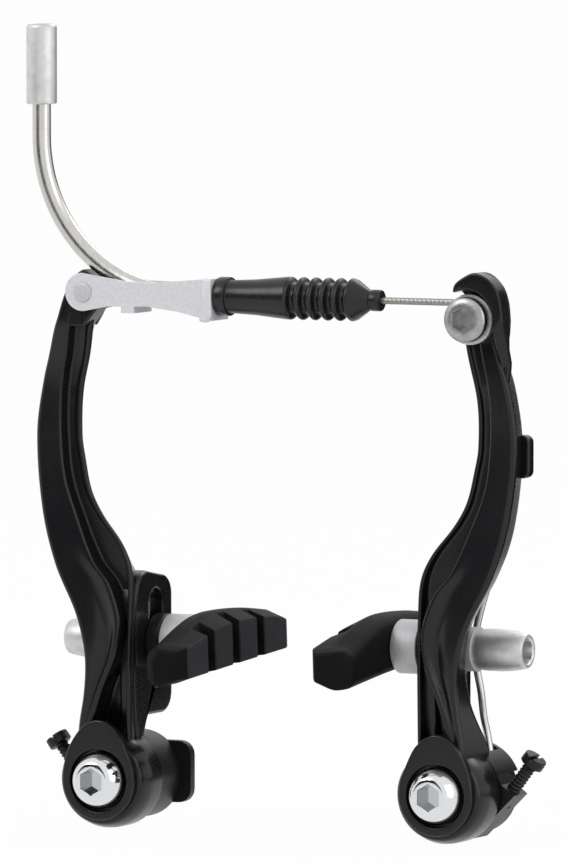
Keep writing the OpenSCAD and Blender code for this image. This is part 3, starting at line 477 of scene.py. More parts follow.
def eased(points, r, steps=3):
    """Rounds each corner of a closed outline: a parabola from r before the corner to r after it."""
    before, after = np.roll(points, 1, -2) - points, np.roll(points, -1, -2) - points
    la, lb = (np.linalg.norm(k, axis=-1, keepdims=True) + 1e-9 for k in (before, after))
    start = points + before / la * np.minimum(r, 0.42 * la)
    end = points + after / lb * np.minimum(r, 0.42 * lb)
    t = np.linspace(0, 1, steps + 1)[:, None]
    arcs = ((1 - t) ** 2 * start[..., None, :] + 2 * t * (1 - t) * points[..., None, :]
        + t * t * end[..., None, :])
    return arcs.reshape(*points.shape[:-2], -1, points.shape[-1])

def inward(outline, k):
    """The closed outline moved inwards by k, along the mean of each point's two side normals."""
    side = np.roll(outline, -1, 0) - outline
    side /= np.linalg.norm(side, axis=1, keepdims=True) + 1e-9
    normal = np.stack([-side[:, 1], side[:, 0]], -1)
    mean = normal + np.roll(normal, 1, 0)
    mean /= np.linalg.norm(mean, axis=1, keepdims=True) + 1e-9
    x, y = outline.T
    turn = np.sign(np.sum(x * np.roll(y, -1) - np.roll(x, -1) * y))
    return outline + turn * k * mean

# %% Three makers
def slab(outline, w0, w1, edge, where=FRONT, hole=None):
    """A flat plate from w0 to w1 with rounded edges: the outline moves out by a quarter circle of
    radius edge at each face. hole is a second outline with as many points."""
    a = np.radians(np.linspace(0, 90, 4))
    move = edge * (1 - np.sin(a))
    deep = edge * (1 - np.cos(a))
    k, w = np.concatenate([move, move[::-1]]), np.concatenate([w0 + deep, w1 - deep[::-1]])

    def stack(shape, way):
        return np.stack([np.concatenate([inward(shape, way * m), np.full((len(shape), 1), d)], 1)
            for m, d in zip(k, w)])

    rings = stack(outline, 1)
    if hole is not None:
        rings = np.concatenate([rings, stack(hole, -1)[::-1]])
    points = at(where, rings[..., 0], rings[..., 1], rings[..., 2])
    return skin(points, loop=hole is not None)

def turned(profile, where, sides=72, loop=False, flats=None):
    """A profile of (w, radius) turned round the frame's w axis. flats lists rows of the profile
    whose ring is a hexagon, with the row's radius as half its width across flats."""
    w, r = np.array(profile, float).T
    a = np.linspace(0, 2 * np.pi, sides, endpoint=False)
    radius = np.repeat(r[:, None], sides, 1)
    if flats:
        radius[flats] /= np.cos((a + np.pi / 6) % (np.pi / 3) - np.pi / 6)
    return skin(at(where, radius * np.cos(a), radius * np.sin(a), w[:, None]), loop=loop)

def swept(path, radius, sides=24, inner=None):
    """A round section carried along a path: its axes are across = Y x tangent and tangent x across.
    radius is one number, one per path point, or one per path point and side."""
    tangent = np.gradient(path, axis=0)
    tangent /= np.linalg.norm(tangent, axis=1, keepdims=True)
    across = np.cross((0, 1, 0), tangent)
    across /= np.linalg.norm(across, axis=1, keepdims=True)
    over = np.cross(tangent, across)
    a = np.linspace(0, 2 * np.pi, sides, endpoint=False)
    r = np.asarray(radius, float)
    r = r.reshape(-1, 1) if r.ndim < 2 else r
    ring = np.cos(a)[None, :, None] * across[:, None] + np.sin(a)[None, :, None] * over[:, None]
    rings = path[:, None] + r[..., None] * ring
    if inner:
        return skin(np.concatenate([rings, (path[:, None] + inner * ring)[::-1]]), loop=True)
    return skin(rings)

# %% [markdown]
# The arm is a forging that leans out round the tyre and comes back in at the top. Its edges are
# known as curves against height: the outer edge, the ridge that parts the front face from the
# groove, the inner lip, and the front and rear faces. One section joins them at each height.

# %% Curves of the arm
ARM_H, HEAD_X, PIN_X = 105.0, 46.5, 44.0
PLATE_X0, PLATE_X1, BOW_X = 33.7, 37.7, 57.0
PAD_Z, POST_D, WIRE_D, WIRE_Z = 29.4, 16.0, 5.0, 104.6
outer_line = [(6, 46), (12, 45.6), (18, 44.6), (24, 44.2), (29, 44.7), (36, 46.8), (46, 51.8), (58, 55.4),
    (74, 57), (86, 55.4), (95, 52.6), (103, 49.8)]
ridge_line = [(6, 43.5), (14, 41.6), (20, 39.6), (27.4, 36.6), (34.4, 35.8), (42.4, 38.5), (47, 42.2),
    (56, 46.4), (65, 49.7), (74, 50.8), (82, 50.8), (88, 50.1), (92, 49.1), (97, 48), (103, 47.2)]
inner_line = [(6, 34), (40, 33.8), (46, 34.4), (51, 36.8), (57, 41.6), (62, 44.4), (69, 46.1), (74, 46.9),
    (84, 46.6), (95, 43.9), (103, 42.6)]
taper_line = [(6, 0.6), (42, 0.9), (48, 2.5), (54, 3.6), (64, 3.6), (74, 3.3), (91, 3.3), (97, 2.8),
    (105, 0.8)]
front_line = [(6, 1.6), (14, 1.5), (30, 1.6), (46, 2.4), (60, 3.4), (74, 4), (89, 4)]
rear_line = [(6, 10.2), (10, 10.2), (15, 9.4), (20, 8.6), (40, 8.6), (46, 10.2), (52, 11.6), (60, 12),
    (74, 12), (89, 11.9)]
draft_line = [(6, -2.0), (9, -2.6), (15.6, -1.1), (25, 0.4), (34, 1.5), (46, 1.6), (105, 1.6)]
hollow_line = [(6, 0), (14, 0.5), (24, 1.5), (34, 1.2), (44, 0.4), (52, 0), (105, 0)]
groove_line = [(6, 8.6), (14, 8.2), (36, 6.6), (46, 6.4), (60, 6.6), (74, 7), (89, 6.6), (97, 4.6),
    (105, 4.4)]

# %% Section of the arm
SHAFT_FOOT, LEVEL, LIP_W, ARM_EDGE = 6.5, 0.6, 1.1, 0.7

def arm_shaft(front, rear, top):
    """Rings of 16 corners at levels LEVEL apart. Each corner is (x, depth) from the curves, and
    is rounded by its own radius, so the coat has no knife edges."""
    z = np.linspace(SHAFT_FOOT, top, int((top - SHAFT_FOOT) / LEVEL))
    xo = curve(outer_line, z)
    xr = np.minimum(curve(ridge_line, z), xo - 2.4)
    xi = np.minimum(curve(inner_line, z), xr - 1.2)
    yf, yr = curve(front, z), curve(rear, z)
    lip = np.minimum(yf + 2.2, yr - 2.6)
    deep = np.minimum(np.maximum(curve(groove_line, z), lip + 0.6), yr - 1.8)
    hollow, draft, xb = curve(hollow_line, z), curve(draft_line, z), xi + curve(taper_line, z)
    rim, edge = LIP_W, ARM_EDGE
    wide = xo - xr - rim
    corners = [(xr, yf + 0.3), (xr + 0.35, yf), (xr + rim, yf), (xr + rim + 0.22 * wide, yf + hollow),
        (xr + rim + 0.5 * wide, yf + 0.3 * hollow), (xo - edge, yf), (xo, yf + edge),
        (xo - draft, yr - edge), (xo - draft - edge, yr), (xb + edge, yr), (xb, yr - edge),
        (xi, lip + edge), (xi + 0.4, lip), (xi + rim, lip),
        (np.minimum(xi + rim + 0.4, xr - 0.4), deep), (xr - 0.3, deep)]
    section = np.stack([np.stack(c, -1) for c in corners], 1)
    soft = np.array([0.3, 0.3, 0.5, 1.5, 1.5, 0.7, 0.7, 1, 1, 1, 1, 0.6, 0.3, 0.5, 0.7, 0.6])[:, None]
    ring = eased(section, soft, 3)
    return skin(at(FRONT, ring[..., 0], z[:, None], ring[..., 1]))

# %% [markdown]
# The foot of the arm is a barrel round the pivot, with a flat ring in front whose top runs out
# into a soft point. The slotted plate for the pad stands on edge behind the arm. Both have real
# holes, so each is a band between its outline and its hole.

# %% Foot, slotted plate and spring lug
RING_R, BOSS_R, BOSS_LEN, BORE_R, SINK_R, SLOT_R, SLOT_LEN = 8.6, 10.6, 10.5, 5.55, 6.7, 3.4, 21
ring_top = [(8.6, 0), (8.3, 3), (7.48, 6.1), (5.8, 9.2), (3.4, 11.9), (0.7, 13), (-1.6, 12.7), (-3.7, 11.3),
    (-5.3, 9.5), (-6.97, 6.1), (-8.21, 3), (-8.6, 0)]
ring_outline = np.concatenate([arc(0, 0, RING_R, 180, 360, 48)[:-1], smooth(ring_top, 5)[:-1]])

def arm_foot():
    """Ring plate with its pointed top, and the barrel: a profile turned round the pivot."""
    hole = ring_outline / np.linalg.norm(ring_outline, axis=1, keepdims=True) * SINK_R
    pivot = beside(PIVOT_X, 0)
    ring = slab(ring_outline, 0, 2.2, 0.45, pivot, hole)
    barrel = [(1.45, SINK_R), (1.5, 9.1), (1.7, 9.4), (2.2, 9.75), (3, 10.0), (4.4, 10.45), (6, BOSS_R),
        (BOSS_LEN - 0.5, BOSS_R), (BOSS_LEN - 0.15, BOSS_R - 0.15), (BOSS_LEN, BOSS_R - 0.5),
        (BOSS_LEN, BORE_R), (2.0, BORE_R), (1.9, SINK_R)]
    return [ring, turned(barrel, pivot, 96, loop=True)]

def pad_plate():
    """Plate on edge with a slot, and a rib from its front corner down into the barrel. Each point
    of the outline is matched to the nearest point of the slot."""
    z0, z1, y0, y1, corner = PAD_Z - 16, PAD_Z + 14, 5.4, POST_D + 7.6, 4.5
    low = smooth([(11.8, z0 - 0.5), (11.3, z0 - 1.6), (10.7, z0 - 3.0), (10.0, z0 - 4.4)], 5)
    near = smooth([(7.2, z0 - 5), (6.4, z0 - 1), (5.7, z0 + 5), (y0, z0 + 11), (y0, z1 - 8), (6.1, z1 - 3.5),
        (8, z1 + 0.2), (11.5, z1 + 1.3)], 6)
    top = np.linspace((12, z1 + 1.2), (y1 - 6, z1 + 0.25), 12)
    far = np.linspace((y1, z1 - 5), (y1, z0 + 5), 24)
    under = np.linspace((y1 - 5, z0), (12.2, z0), 10)
    outline = np.concatenate([near, top, arc(y1 - corner, z1 - corner, corner, 88, 0, 12), far,
        arc(y1 - corner, z0 + corner, corner, 0, -90, 12), under, low])
    r, mid, half = SLOT_R, PAD_Z + 0.5, SLOT_LEN / 2 - SLOT_R
    core = np.stack([np.full(len(outline), POST_D), np.clip(outline[:, 1], mid - half, mid + half)], -1)
    out = outline - core
    hole = core + r * out / np.linalg.norm(out, axis=1, keepdims=True)
    return [slab(outline, PLATE_X0, PLATE_X1, 0.8, ACROSS, hole)]

LUG_Z, LUG_X, LUG_POST_R, LUG_POST_IN = ARM_H - 33, BOW_X - 2.2, 1.1, 0.6

def spring_lug():
    """Small rounded block on the outer side, with the post that the spring's leg pushes against."""
    half, w, c = 4.6, 2.8, 1.6
    outline = np.concatenate([[(LUG_X - 1, LUG_Z - half)], arc(LUG_X + w - c, LUG_Z - half + c, c, -90, 0, 6),
        arc(LUG_X + w - c, LUG_Z + half - c, c, 0, 90, 6), [(LUG_X - 1, LUG_Z + half)]])
    post = turned([(9.4, LUG_POST_R), (14.7, LUG_POST_R), (15, 0.8)], beside(LUG_X - LUG_POST_IN, LUG_Z), 24)
    return [slab(outline, 9.4, 12.2, 0.5), post]

# %% [markdown]
# The two arms differ at the top. The left head thins to a tab inside the link, with an ear
# behind it, and both are cut back where the noodle passes. The right head carries the round
# anchor face and a hooked guard over the wire.

# %% Heads of the arms
BEND_R, BEND_X = 33.5, -22.3
BEND_Z, NOODLE_X, BEND_CLEAR = WIRE_Z + BEND_R, BEND_X - BEND_R, 36.1

def left_head():
    """Tab and ear have the same top, and the ear is narrower on the side of the wheel. Points
    nearer to the middle of the noodle's bend than BEND_CLEAR are pushed back onto that circle."""
    plates = []
    for inside, w0, w1 in (([(39.2, 104.5), (41.2, 101.5), (43.4, 98.8), (44.6, 97.4)], 2.3, 7.7),
            ([(40.6, 104.8), (43.0, 102.3), (44.3, 99.8), (45.8, 97.4)], 10.4, 12.1)):
        outline = smooth([(51.5, 97.4), (50.4, 101), (49.2, 104.4), (47.7, 107.2), (45.6, 109.3),
            (43.5, 109.9), (41, 109.2), (39.6, 107)] + inside, 6)
        away = outline - (-BEND_X, BEND_Z)
        far = np.linalg.norm(away, axis=1, keepdims=True)
        outline = (-BEND_X, BEND_Z) + away * np.maximum(1, BEND_CLEAR / far)
        plates.append(slab(outline, w0, w1, 0.6))
    return plates

ANCHOR_X, ANCHOR_Z, CLAMP_D = HEAD_X + 0.3, WIRE_Z - 2.5 - 0.75 - 0.1, 4.5

def right_head():
    """Anchor face turned round the bolt, and the guard: a hook between its outer path and a circle
    that clears the washer. Its side runs down into the arm and sinks back to the arm's face."""
    outer = smooth([(53.4, 84), (54.9, 88), (55.4, 93), (55.4, 98), (55.3, 102), (54.9, 105), (54.1, 107.6),
        (52.6, 109.6), (50.6, 110.8), (48.5, 111.2), (46.5, 110.4), (44.6, 109.1), (43.9, 107.9),
        (44.0, 107.1)], 6)
    inner = smooth([(52.6, 85), (53.2, 90), (53.3, 95), *arc(ANCHOR_X, ANCHOR_Z, 6.3, -2, 106, 9),
        (44.2, 107.0)], 6)
    along = np.linspace(0, 1, 90)
    (xo, zo), (xi, zi) = (along_path(p, along).T for p in (outer, inner))
    front = 0.4 + 4.1 * np.clip((102 - zo) / 10, 0, 1) ** 1.2
    rear = np.maximum(4.7, front + 1.6)
    corners = np.stack([np.stack(c, -1) for c in (
        (xi, front, zi), (xo, front, zo), (xo, rear, zo), (xi, rear, zi))], 1)
    ring = eased(corners, 0.55, 3)
    guard = skin(at(FRONT, ring[..., 0], ring[..., 2], ring[..., 1]))
    back = smooth([(52.1, 93), (54.6, 96), (55.2, 100), (55.1, 103), (54.7, 105.5), (53.6, 108.2),
        (51.2, 110.6), (48.7, 111.2), (46.5, 110.4), (44.6, 109.1), (43.9, 107.7), (44.2, 106.9),
        (48, 103), (49, 97)], 6)
    face = turned([(CLAMP_D, 5.0), (CLAMP_D + 0.3, 5.3), (10.1, 5.3), (10.5, 4.9)],
        beside(ANCHOR_X, ANCHOR_Z), 64)
    return [face, guard, slab(back, CLAMP_D, 5.6, 0.3)]

# %% Both arms
shared = arm_foot() + pad_plate() + spring_lug()
left_shaft = arm_shaft(front_line + [(97, 2.3), (103, 2.3)], rear_line + [(97, 12), (103, 12.2)], 100.3)
right_shaft = arm_shaft(front_line + [(97, CLAMP_D), (103, CLAMP_D)],
    rear_line + [(97, 10.8), (103, 9.5)], 101.0)
piece("left_arm_coated", mirrored([left_shaft] + shared + left_head()), arm_coat, "arm_coat",
    "left_arm_body", "left_arm", flat=True)
piece("right_arm_coated", [right_shaft] + shared + right_head(), arm_coat, "arm_coat",
    "right_arm_body", "right_arm", flat=True)
print("arm section:", right_shaft[0].shape[0], "points")

# %% [markdown]
# The pivot bolt is the brightest piece: a polished dome with a flat crown and a 5 mm hexagon.
# It is turned in one profile that runs from the flange over the dome and down into the socket.
# The rows of the socket are hexagons, so the profile and the hexagon join without a seam.

# %% Turned steel pieces
def pivot_bolt():
    """Dome: w = -3.4 (1 - ((r - 3.35) / 2.75)^2.2) from the crown at 3.35 mm out to the flange."""
    r = np.linspace(3.35, 6.1, 16)
    dome = np.stack([-3.4 * (1 - ((r - 3.35) / 2.75) ** 2.2), r], -1)
    head = [(-0.6, 0), (-0.6, 2.5), (-3.3, 2.5), (-3.4, 2.56), (-3.42, 3.1)]
    rest = [(0.15, 6.1), (0.9, 6.1), (1.0, 6.0), (1.0, 3), (12, 3), (12, 0)]
    return turned(head + dome.tolist() + rest, beside(PIVOT_X, 0, 0.2), 96, flats=[1, 2, 3])

def pad_nut(x0):
    """Barrel that narrows outwards, with a hexagon socket in its end."""
    u = np.linspace(0, 1, 14)
    out = np.maximum(0, (u - 0.45) / 0.55)
    r = 4.5 - 0.8 * out ** 2 - 0.3 * np.maximum(0, 1 - u / 0.2)
    barrel = np.stack([11.3 * u, r], -1)
    end = [(11.5, 3.55), (11.6, 3.4), (11.6, 3.0), (11.3, 2.65), (11.1, 2.5), (6.6, 2.5), (6.6, 0)]
    rows = [len(barrel) + 5, len(barrel) + 6]
    return turned([(0, 0)] + barrel.tolist() + end, on_post(x0), 96, flats=rows)

def washer(x0, sign, profile):
    """A washer on the pad's post: its profile runs from the bore outwards and back."""
    where = on_post(x0)
    where[3] *= sign
    return turned(profile, where, 96, loop=True)

BALL_R, HAIR = 11, 0.03

def domed(t):
    """Flat below and clear of the plate by a hair, a slice of a ball above, with a rounded rim."""
    r = np.linspace(5.55, 3.3, 8)
    top = t - BALL_R + np.sqrt(BALL_R ** 2 - r ** 2)
    rim = float(top[0]) - 0.25
    return [(HAIR, 3.3), (HAIR, 5.6), (0.2, 5.8), (max(0.25, rim), 5.8)] + np.stack([top, r], -1).tolist()

def cupped(t):
    """Flat below, hollow above, so that a dome can tilt in it."""
    r = np.linspace(5.3, 3.3, 8)
    sag = BALL_R - np.sqrt(BALL_R ** 2 - 5.8 ** 2)
    full = t + sag - 0.4
    top = full - sag + BALL_R + 0.35 - np.sqrt(BALL_R ** 2 - r ** 2)
    wall = [(0, 3.3), (0, 5.5), (0.12, 5.7), (0.3, 5.8), (full - 0.35, 5.8), (full - 0.12, 5.72),
        (full - 0.02, 5.5)]
    return wall + np.stack([np.minimum(top, full - 0.02), r], -1).tolist()

# %% Set the turned pieces on both sides
CUP_T, DOME_T, OUTER_DOME_T, THIN_CUP_T = 4.8, 4.4, 3.0, 2.2
PAD_BACK_X, NUT_X0 = PLATE_X0 - DOME_T - CUP_T, PLATE_X1 + OUTER_DOME_T + THIN_CUP_T
LIFT, THIN_CUP_R = 0.8, 4.75     # of the right pad over the left one, and of the thin cup as it is seen
thin = [(w, min(r, THIN_CUP_R)) for w, r in cupped(THIN_CUP_T)]
hardware = {
    "cup_washer": (washer(PAD_BACK_X, 1, cupped(CUP_T)), matte_zinc, "zinc_steel"),
    "inner_dome": (washer(PLATE_X0, -1, domed(DOME_T)), dark_steel, "black_steel"),
    "outer_dome": (washer(PLATE_X1, 1, domed(OUTER_DOME_T)), dark_steel, "black_steel"),
    "thin_cup": (washer(NUT_X0, -1, thin), matte_zinc, "zinc_steel"),
    "pad_nut": (pad_nut(NUT_X0), zinc, "zinc_steel"),
}
for kind, (shell, finish, slot) in hardware.items():
    both_sides(kind + "_turned", [shell], finish, slot, "{}_pad_body", kind, LIFT)
both_sides("bolt_domed", [pivot_bolt()], chrome, "bolt_chrome", "studs_side", "pivot_bolt", crisp=30)
print("turned pieces:", 2 * len(hardware) + 2)

# %% [markdown]
# A pad is one moulded form. Its section changes along its length: the back is thick in the
# middle, the top is humped, and the friction face is cut into four blocks. The grooves are not
# separate cuts here. They are places along the pad where the face steps back.

# %% Pads
PAD_LEN, PITCH = 52.0, np.radians(3.6)
FACE_H, BACK_H, GROOVE_AT, GROOVE_DEEP = 9, 12.4, np.array([-0.25, 0, 0.25]) * PAD_LEN * 0.92, 3.1
GROOVE_HALF, WALL_W = 1.95, 0.25     # half a groove's width at its mouth, and its wall's slope
pad_top = [(-1, 0.32), (-0.92, 0.38), (-0.77, 0.52), (-0.5, 0.8), (-0.24, 0.98), (0, 1), (0.46, 0.86),
    (0.92, 0.6), (1, 0.54)]
pad_low = [(-1, 1.2), (-0.62, 1.1), (-0.15, 1), (0.31, 0.97), (1, 1.02)]
face_top = [(-1, 0.4), (-0.88, 0.55), (-0.5, 0.82), (-0.21, 1), (0.26, 0.96), (0.77, 0.7), (1, 0.42)]

def pad():
    """Rings across the pad. step is 1 inside a groove and falls to 0 over its wall, and the ends
    shrink by a quarter circle."""
    half = PAD_LEN / 2
    wall = GROOVE_HALF - WALL_W * np.arange(3)
    ends = half * (1 - 0.04 * np.linspace(0, 1, 6) ** 2)
    y = np.unique(np.concatenate([np.linspace(-half, half, 90), ends, -ends,
        (GROOVE_AT[:, None] + np.concatenate([-wall, wall[::-1]])).ravel()]))
    u = y / half
    step = np.clip((GROOVE_HALF - np.abs(y[:, None] - GROOVE_AT)) / WALL_W, 0, 1).max(1)
    nose = np.clip((-22.6 - y) / 3.4, 0, 1)
    tail = np.clip((y - 24) / 2, 0, 1)
    fh, fl = 0.57 * FACE_H * curve(face_top, u), np.full(len(u), -0.43 * FACE_H)
    high = np.maximum(0.617 * BACK_H * curve(pad_top, u), fh + 0.5)
    low = -0.383 * BACK_H * curve(pad_low, u)
    tip = np.maximum(0, (np.abs(u) - 0.88) / 0.12)
    x0 = FACE_X + 1.8 * nose + 0.9 * tail ** 2
    cut = x0 + GROOVE_DEEP * step
    x1 = PAD_BACK_X - 2.6 * tip ** 2
    corners = [(cut, fh), (cut, fl), (x0 + 3.8, low + 0.3), (x1 - 1.4, low), (x1, low + 1.4),
        (x1, high - 2.2), (x1 - 2, high - 0.4), (x0 + 5, high), (x0 + 3.9, high - 0.22 * (high - fh))]
    section = np.stack([np.stack(c, -1) for c in corners], 1)
    soft = np.array([0.45, 0.45, 0.8, 1, 1, 1.2, 1.6, 1.2, 0.4])[:, None]
    ring = eased(section, soft, 4)
    centre = ring.mean(1, keepdims=True)
    end = np.clip((half - np.abs(y)) / 1.0, 0, 1)
    ring = centre + (ring - centre) * (0.84 + 0.16 * np.sqrt(1 - (1 - end) ** 2))[:, None, None]
    up, along = ring[..., 1] - 0.6, y[:, None]
    return skin(at(ACROSS, POST_D + along * np.cos(PITCH) - up * np.sin(PITCH),
        PAD_Z + along * np.sin(PITCH) + up * np.cos(PITCH), ring[..., 0]))

pad_shell = pad()
both_sides("pad_blocks", [pad_shell], pad_rubber, "pad_rubber", "{}_pad_body", "pad", LIFT, crisp=32,
    flat=True)
print("pad grid:", pad_shell[0].shape)

# %% [markdown]
# The return spring starts under the tension screw, winds twice round the sleeve, and runs up
# behind the arm to its post. Its coil stays with the stud while its leg follows the arm. Here the
# piece is attached to no body.

# %% Springs
SCREW_D = 14.2              # depth of the tension screw and of the spring's short leg
WIRE_R, COIL_R, COIL_PITCH = 0.8, 6.7, 1.72

def spring_path():
    """Short leg, then a helix of 2.08 turns, then a smooth leg, counted from the pivot."""
    start = np.radians(-14.5)
    sweep = 2 * 2 * np.pi + np.radians(14.6 + 14.5)
    a = start + sweep * np.linspace(0, 1, 150)
    d = SCREW_D + COIL_PITCH * (a - start) / (2 * np.pi)
    helix = np.stack([COIL_R * np.cos(a), COIL_R * np.sin(a), d], -1)
    short = np.stack([[r * np.cos(start), r * np.sin(start), SCREW_D] for r in (10.3, 9.2, 8.2)])
    end, x0, clear = d[-1], PLATE_X1 - PIVOT_X + 1.2, POST_D + 5.8 + 1.2
    leg_x = LUG_X - PIVOT_X - LUG_POST_IN - LUG_POST_R - 0.9
    knots = [(5, 6.5, end + 0.2), (3.4, 11.5, end + 1.6), (1.8, 15.5, clear - 2.2), (0.2, 20.5, clear - 0.2),
        (x0, 27, clear), (x0, 33, clear), (1.8, 42, clear - 1.2), (6.4, 51, 19.4), (10.6, 60, 15.6),
        (leg_x, LUG_Z - 5, 13.8), (leg_x, LUG_Z + 4, 13.8)]
    leg = smooth([helix[-1]] + knots, 8)[1:]
    u, v, w = np.concatenate([short, helix, leg]).T
    return at(FRONT, u + PIVOT_X, v, w)

wire = swept(spring_path(), WIRE_R, 16)
for side, shell in (("left", mirrored([wire])), ("right", [wire])):
    thing = piece(side + "_spring_wound", shell, spring_steel, "spring_steel", None, side + "_spring")
    x = -0.04 if side == "left" else 0.04
    side + "_arm_body"
    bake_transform(thing)
print("spring path:", len(spring_path()), "points")

# %% [markdown]
# The tension screw shows its thread, so its radius is a function of both the angle and the
# distance: a ramp that rises once a pitch and turns with the angle. Its head is a disc with two
# half discs on top, and the slot is the room between them.

# %% Tension screws
SCREW_FOOT, DIRECTION = np.array([PIVOT_X + 13.4, 2.8]), np.array([0.603, 0.798])
screw_at = axes(at(FRONT, SCREW_FOOT[0], SCREW_FOOT[1], SCREW_D), (DIRECTION[1], 0, -DIRECTION[0]), (0, 1, 0),
    (DIRECTION[0], 0, DIRECTION[1]))

def thread(length, r, pitch, where, depth=0.28):
    """Threaded rod: radius r - depth |2 f - 1|, where f is the fraction of w / pitch - angle / turn."""
    w = np.arange(0, length, 0.06)
    a = np.linspace(0, 2 * np.pi, 40, endpoint=False)
    f = (w[:, None] / pitch - a / (2 * np.pi)) % 1
    radius = r - depth * np.abs(2 * f - 1)
    radius[0] = radius[-1] = r - depth
    return skin(at(where, radius * np.cos(a), radius * np.sin(a), w[:, None]))

def tension_screw():
    rod = thread(8.0, 1.5, 0.85, moved(screw_at, -3.7))
    point = turned([(-4.0, 0), (-4.0, 0.7), (-3.9, 0.85), (-3.6, 0.85), (-3.6, 0)], screw_at, 24)
    disc = turned([(4.2, 0), (4.2, 2.3), (4.4, 2.6), (5.5, 2.6), (5.6, 2.5), (5.6, 0)], screw_at, 48)
    chord = np.degrees(np.arccos(0.4 / 2.55))
    half = arc(0, 0, 2.55, -chord, chord, 28)
    caps = [slab(half * s, 5.5, 6.4, 0.22, screw_at) for s in (1, -1)]
    return [rod, point, disc] + caps

screw = tension_screw()
both_sides("screw_threaded", screw, dark_steel, "black_steel", "{}_screw_body", "tension_screw")
print("screw shells:", len(screw))

# %% [markdown]
# The noodle is a bent tube that turns the cable through a quarter circle. It is swept along its
# centre line and is hollow, because the wire runs through it. The boot is turned in one closed
# profile: a collar, a flared tube, six folds, a cone and a nose that wipes the wire.

# %% Noodle, ferrule and boot
LINK_END_X = -PIN_X + 30.8
bend = np.linspace(0, np.pi / 2, 60)
upright = np.linspace((NOODLE_X, WIRE_D, 149.9), (NOODLE_X, WIRE_D, BEND_Z + 0.4), 12)
turning = np.stack([BEND_X - BEND_R * np.cos(bend), np.full(60, WIRE_D), BEND_Z - BEND_R * np.sin(bend)], -1)
wire_line = np.concatenate([upright, turning])

def along_wire(x_end, n=12):
    """The noodle's centre line, carried on along the wire to x_end."""
    level = np.linspace((BEND_X + 1, WIRE_D, WIRE_Z), (x_end, WIRE_D, WIRE_Z), n)
    route = np.concatenate([wire_line, level])
    return at(FRONT, route[:, 0], route[:, 2], route[:, 1])

collar = axes(at(FRONT, 0.0, WIRE_Z, WIRE_D), (0, 1, 0), (0, 0, 1), (1, 0, 0))
tube = swept(along_wire(LINK_END_X + 8), 2.0, 48, inner=1.5)
shoulder = turned([(LINK_END_X - back, r) for back, r in (
    (3.6, 1.7), (3.6, 2.6), (3.4, 2.8), (1.4, 2.8), (1.22, 2.6), (1.22, 1.7))], collar, 64, loop=True)
piece("noodle_bent", [tube, shoulder], tube_steel, "zinc_steel", "link_body", "noodle")

ferrule_at = axes(at(FRONT, NOODLE_X, 145.0, WIRE_D), (1, 0, 0), (0, 1, 0), (0, 0, 1))
ferrule = turned([(0, 2.02), (0, 3.0), (0.25, 3.3), (16.4, 3.3), (16.8, 3.2), (17.1, 2.95), (17.2, 2.75),
    (17.1, 2.6), (9.2, 2.6), (9.2, 1.1), (5, 1.1), (5, 2.02)], ferrule_at, 72, loop=True)
piece("ferrule_turned", [ferrule], zinc, "zinc_steel", "link_body", "ferrule")

def boot():
    """Folds: radius 3.88 + 0.72 cos, sharpened, with six crests between 17 and 31.7 mm from the link."""
    w = np.linspace(17, 31.7, 150)
    wave = np.cos((w - 17) / (31.7 - 17) * 2 * np.pi * 5)
    fold = 3.88 + 0.72 * np.sign(wave) * np.abs(wave) ** 0.8
    outer = [(0, 2.05), (0, 3.9), (0.15, 4.1), (0.4, 4.2), (2.4, 4.2), (2.7, 4.1), (2.85, 3.65), (3.2, 3.55),
        (9, 3.85), (15.0, 4.45), (16.4, 4.58)]
    nose = [(32.6, 4.3), (35.9, 2.0), (36.05, 2.2), (36.3, 2.3), (38.1, 2.3), (38.35, 2.15), (38.4, 1.9),
        (38.4, 0.95)]
    back = [(35.9, 0.95), (31.5, 3.0), (17, 3.2), (8.4, 2.6), (8.3, 2.05)]
    profile = outer + np.stack([w, fold], -1).tolist() + nose + back
    return turned(profile, moved(collar, LINK_END_X + 0.05), 72, loop=True)

piece("boot_folded", [boot()], boot_rubber, "boot_rubber", "link_body", "boot", crisp=50)

# %% Inner wire
STRAND_R, WIRES, LAY = 0.75, 9, 9     # radius, outer wires, and millimetres for one turn of the lay

def strand(x_end):
    """Outer wires laid round a core: the radius falls by a seventh between neighbours."""
    path = along_wire(x_end, 300)
    length = np.concatenate([[0], np.cumsum(np.linalg.norm(np.diff(path, axis=0), axis=1))])
    a = np.linspace(0, 2 * np.pi, 54, endpoint=False)
    lobes = np.abs(np.sin(WIRES / 2 * (a[None] - 2 * np.pi * length[:, None] / LAY)))
    return swept(path, STRAND_R * (0.86 + 0.14 * lobes), 54)

thing = piece("inner_wire_strand", [strand(ANCHOR_X + 3.6)], strand_steel, "wire_steel", None, "brake_cable",
    crisp=80)
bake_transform(thing)
print("noodle, ferrule, boot and wire made")

# %% [markdown]
# The anchor clamps the wire between its washer and the arm. The bolt's head has a 5 mm hexagon
# and a small bevel, and the link's pin ends in a low rivet head in front.

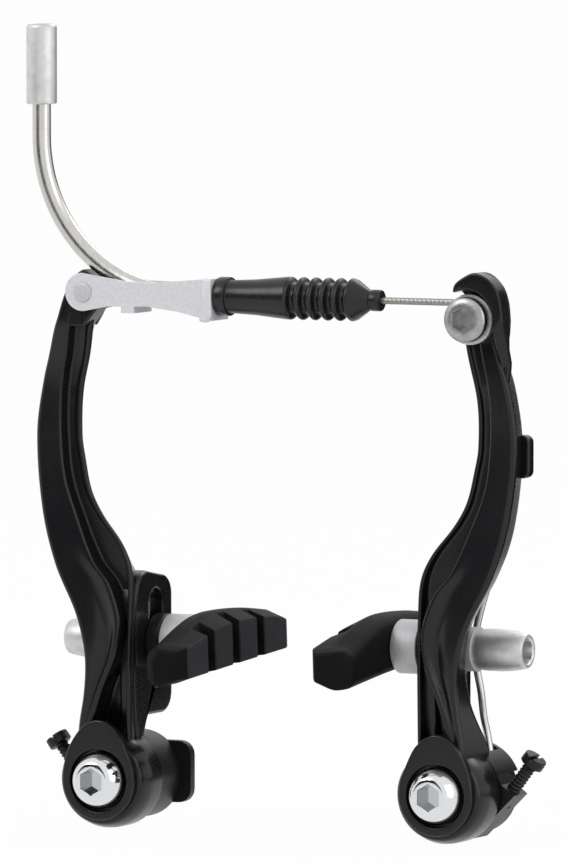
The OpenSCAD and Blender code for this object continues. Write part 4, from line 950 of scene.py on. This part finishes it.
# %% Anchor and link pin
anchor = beside(ANCHOR_X, ANCHOR_Z)
washer_ring = turned([(4.2, 2.6), (4.2, 5.25), (4.05, 5.4), (2.6, 5.4), (2.45, 5.25), (2.45, 2.6)],
    anchor, 72, loop=True)
piece("anchor_washer_turned", [washer_ring], zinc, "zinc_steel", "right_arm_body", "anchor_washer")
bolt = turned([(1.8, 0), (1.8, 2.5), (-0.55, 2.5), (-0.62, 2.56), (-0.62, 3.1), (-0.52, 3.7), (-0.3, 4.3),
    (0.02, 4.68), (0.3, 4.8), (2.35, 4.8), (2.43, 4.7), (2.43, 2.3), (10.5, 2.3), (10.5, 0)],
    anchor, 96, flats=[1, 2, 3])
piece("anchor_bolt_turned", [bolt], worn_steel, "zinc_steel", "right_arm_body", "anchor_bolt", crisp=32)
rivet = turned([(0.3, 0), (0.3, 1.2), (0.36, 1.7), (0.5, 2.1), (0.75, 2.2), (9.3, 2.2), (9.2, 2.2),
    (9.2, 3.0), (9.35, 3.1), (9.8, 3.1), (10, 2.9), (10, 0)], beside(-PIN_X, ARM_H), 64)
piece("link_pin_riveted", [rivet], matte_zinc, "zinc_steel", "link_body", "link_pin")

# %% [markdown]
# The link, the covers and the rear plates already have their true outlines in the solids. A
# copy of each is merged, and a small bevel gives its edges the highlight of real moulded or
# stamped parts. The original stays hidden under it for the motion.

# %% Bevelled copies of solids
def bevelled(node, finish, body, width, angle=32):
    """Merges a copy of a solid, then a Bevel modifier rounds each edge sharper than angle."""
    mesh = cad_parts[node].data.copy()
    welded(mesh, 2e-6, angle, melt=True)
    mesh.materials.clear()
    mesh.materials.append(finish.material)
    thing = put(node + "_finished", mesh)
    round_over = thing.modifiers.new("round", "BEVEL")
    round_over.width, round_over.segments, round_over.limit_method = width * MM, 3, "ANGLE"
    round_over.angle_limit, round_over.harden_normals = np.radians(angle), True
    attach(thing, body)
    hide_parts(node)

bevelled("link", plate, "link_body", 0.22)
lip = eased(np.array([(-2.0, 4.0), (-0.1, 4.0), (0.25, -4.4), (-0.6, -5.5), (-2.9, -5.3), (-2.4, -3.6)])
    + (LINK_END_X, WIRE_Z), 0.9, 5)
piece("link_lip", [slab(lip, 0.35, 1.6, 0.5)], plate, "link_steel", "link_body")
for side in ("left", "right"):
    bevelled(side + "_spring_cover", cover_plastic, "studs_side", 0.25)
    bevelled(side + "_spring_plate", cover_plastic, "studs_side", 0.3)
print("bevelled copies: 5")

# %% Hidden steel and the liner
for node, finish in [("left_pivot_sleeve", zinc), ("right_pivot_sleeve", zinc), ("left_pad_post", zinc),
        ("right_pad_post", zinc), ("noodle_liner", liner_plastic)]:
    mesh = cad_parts[node].data
    mesh.materials.clear()
    mesh.materials.append(finish.material)
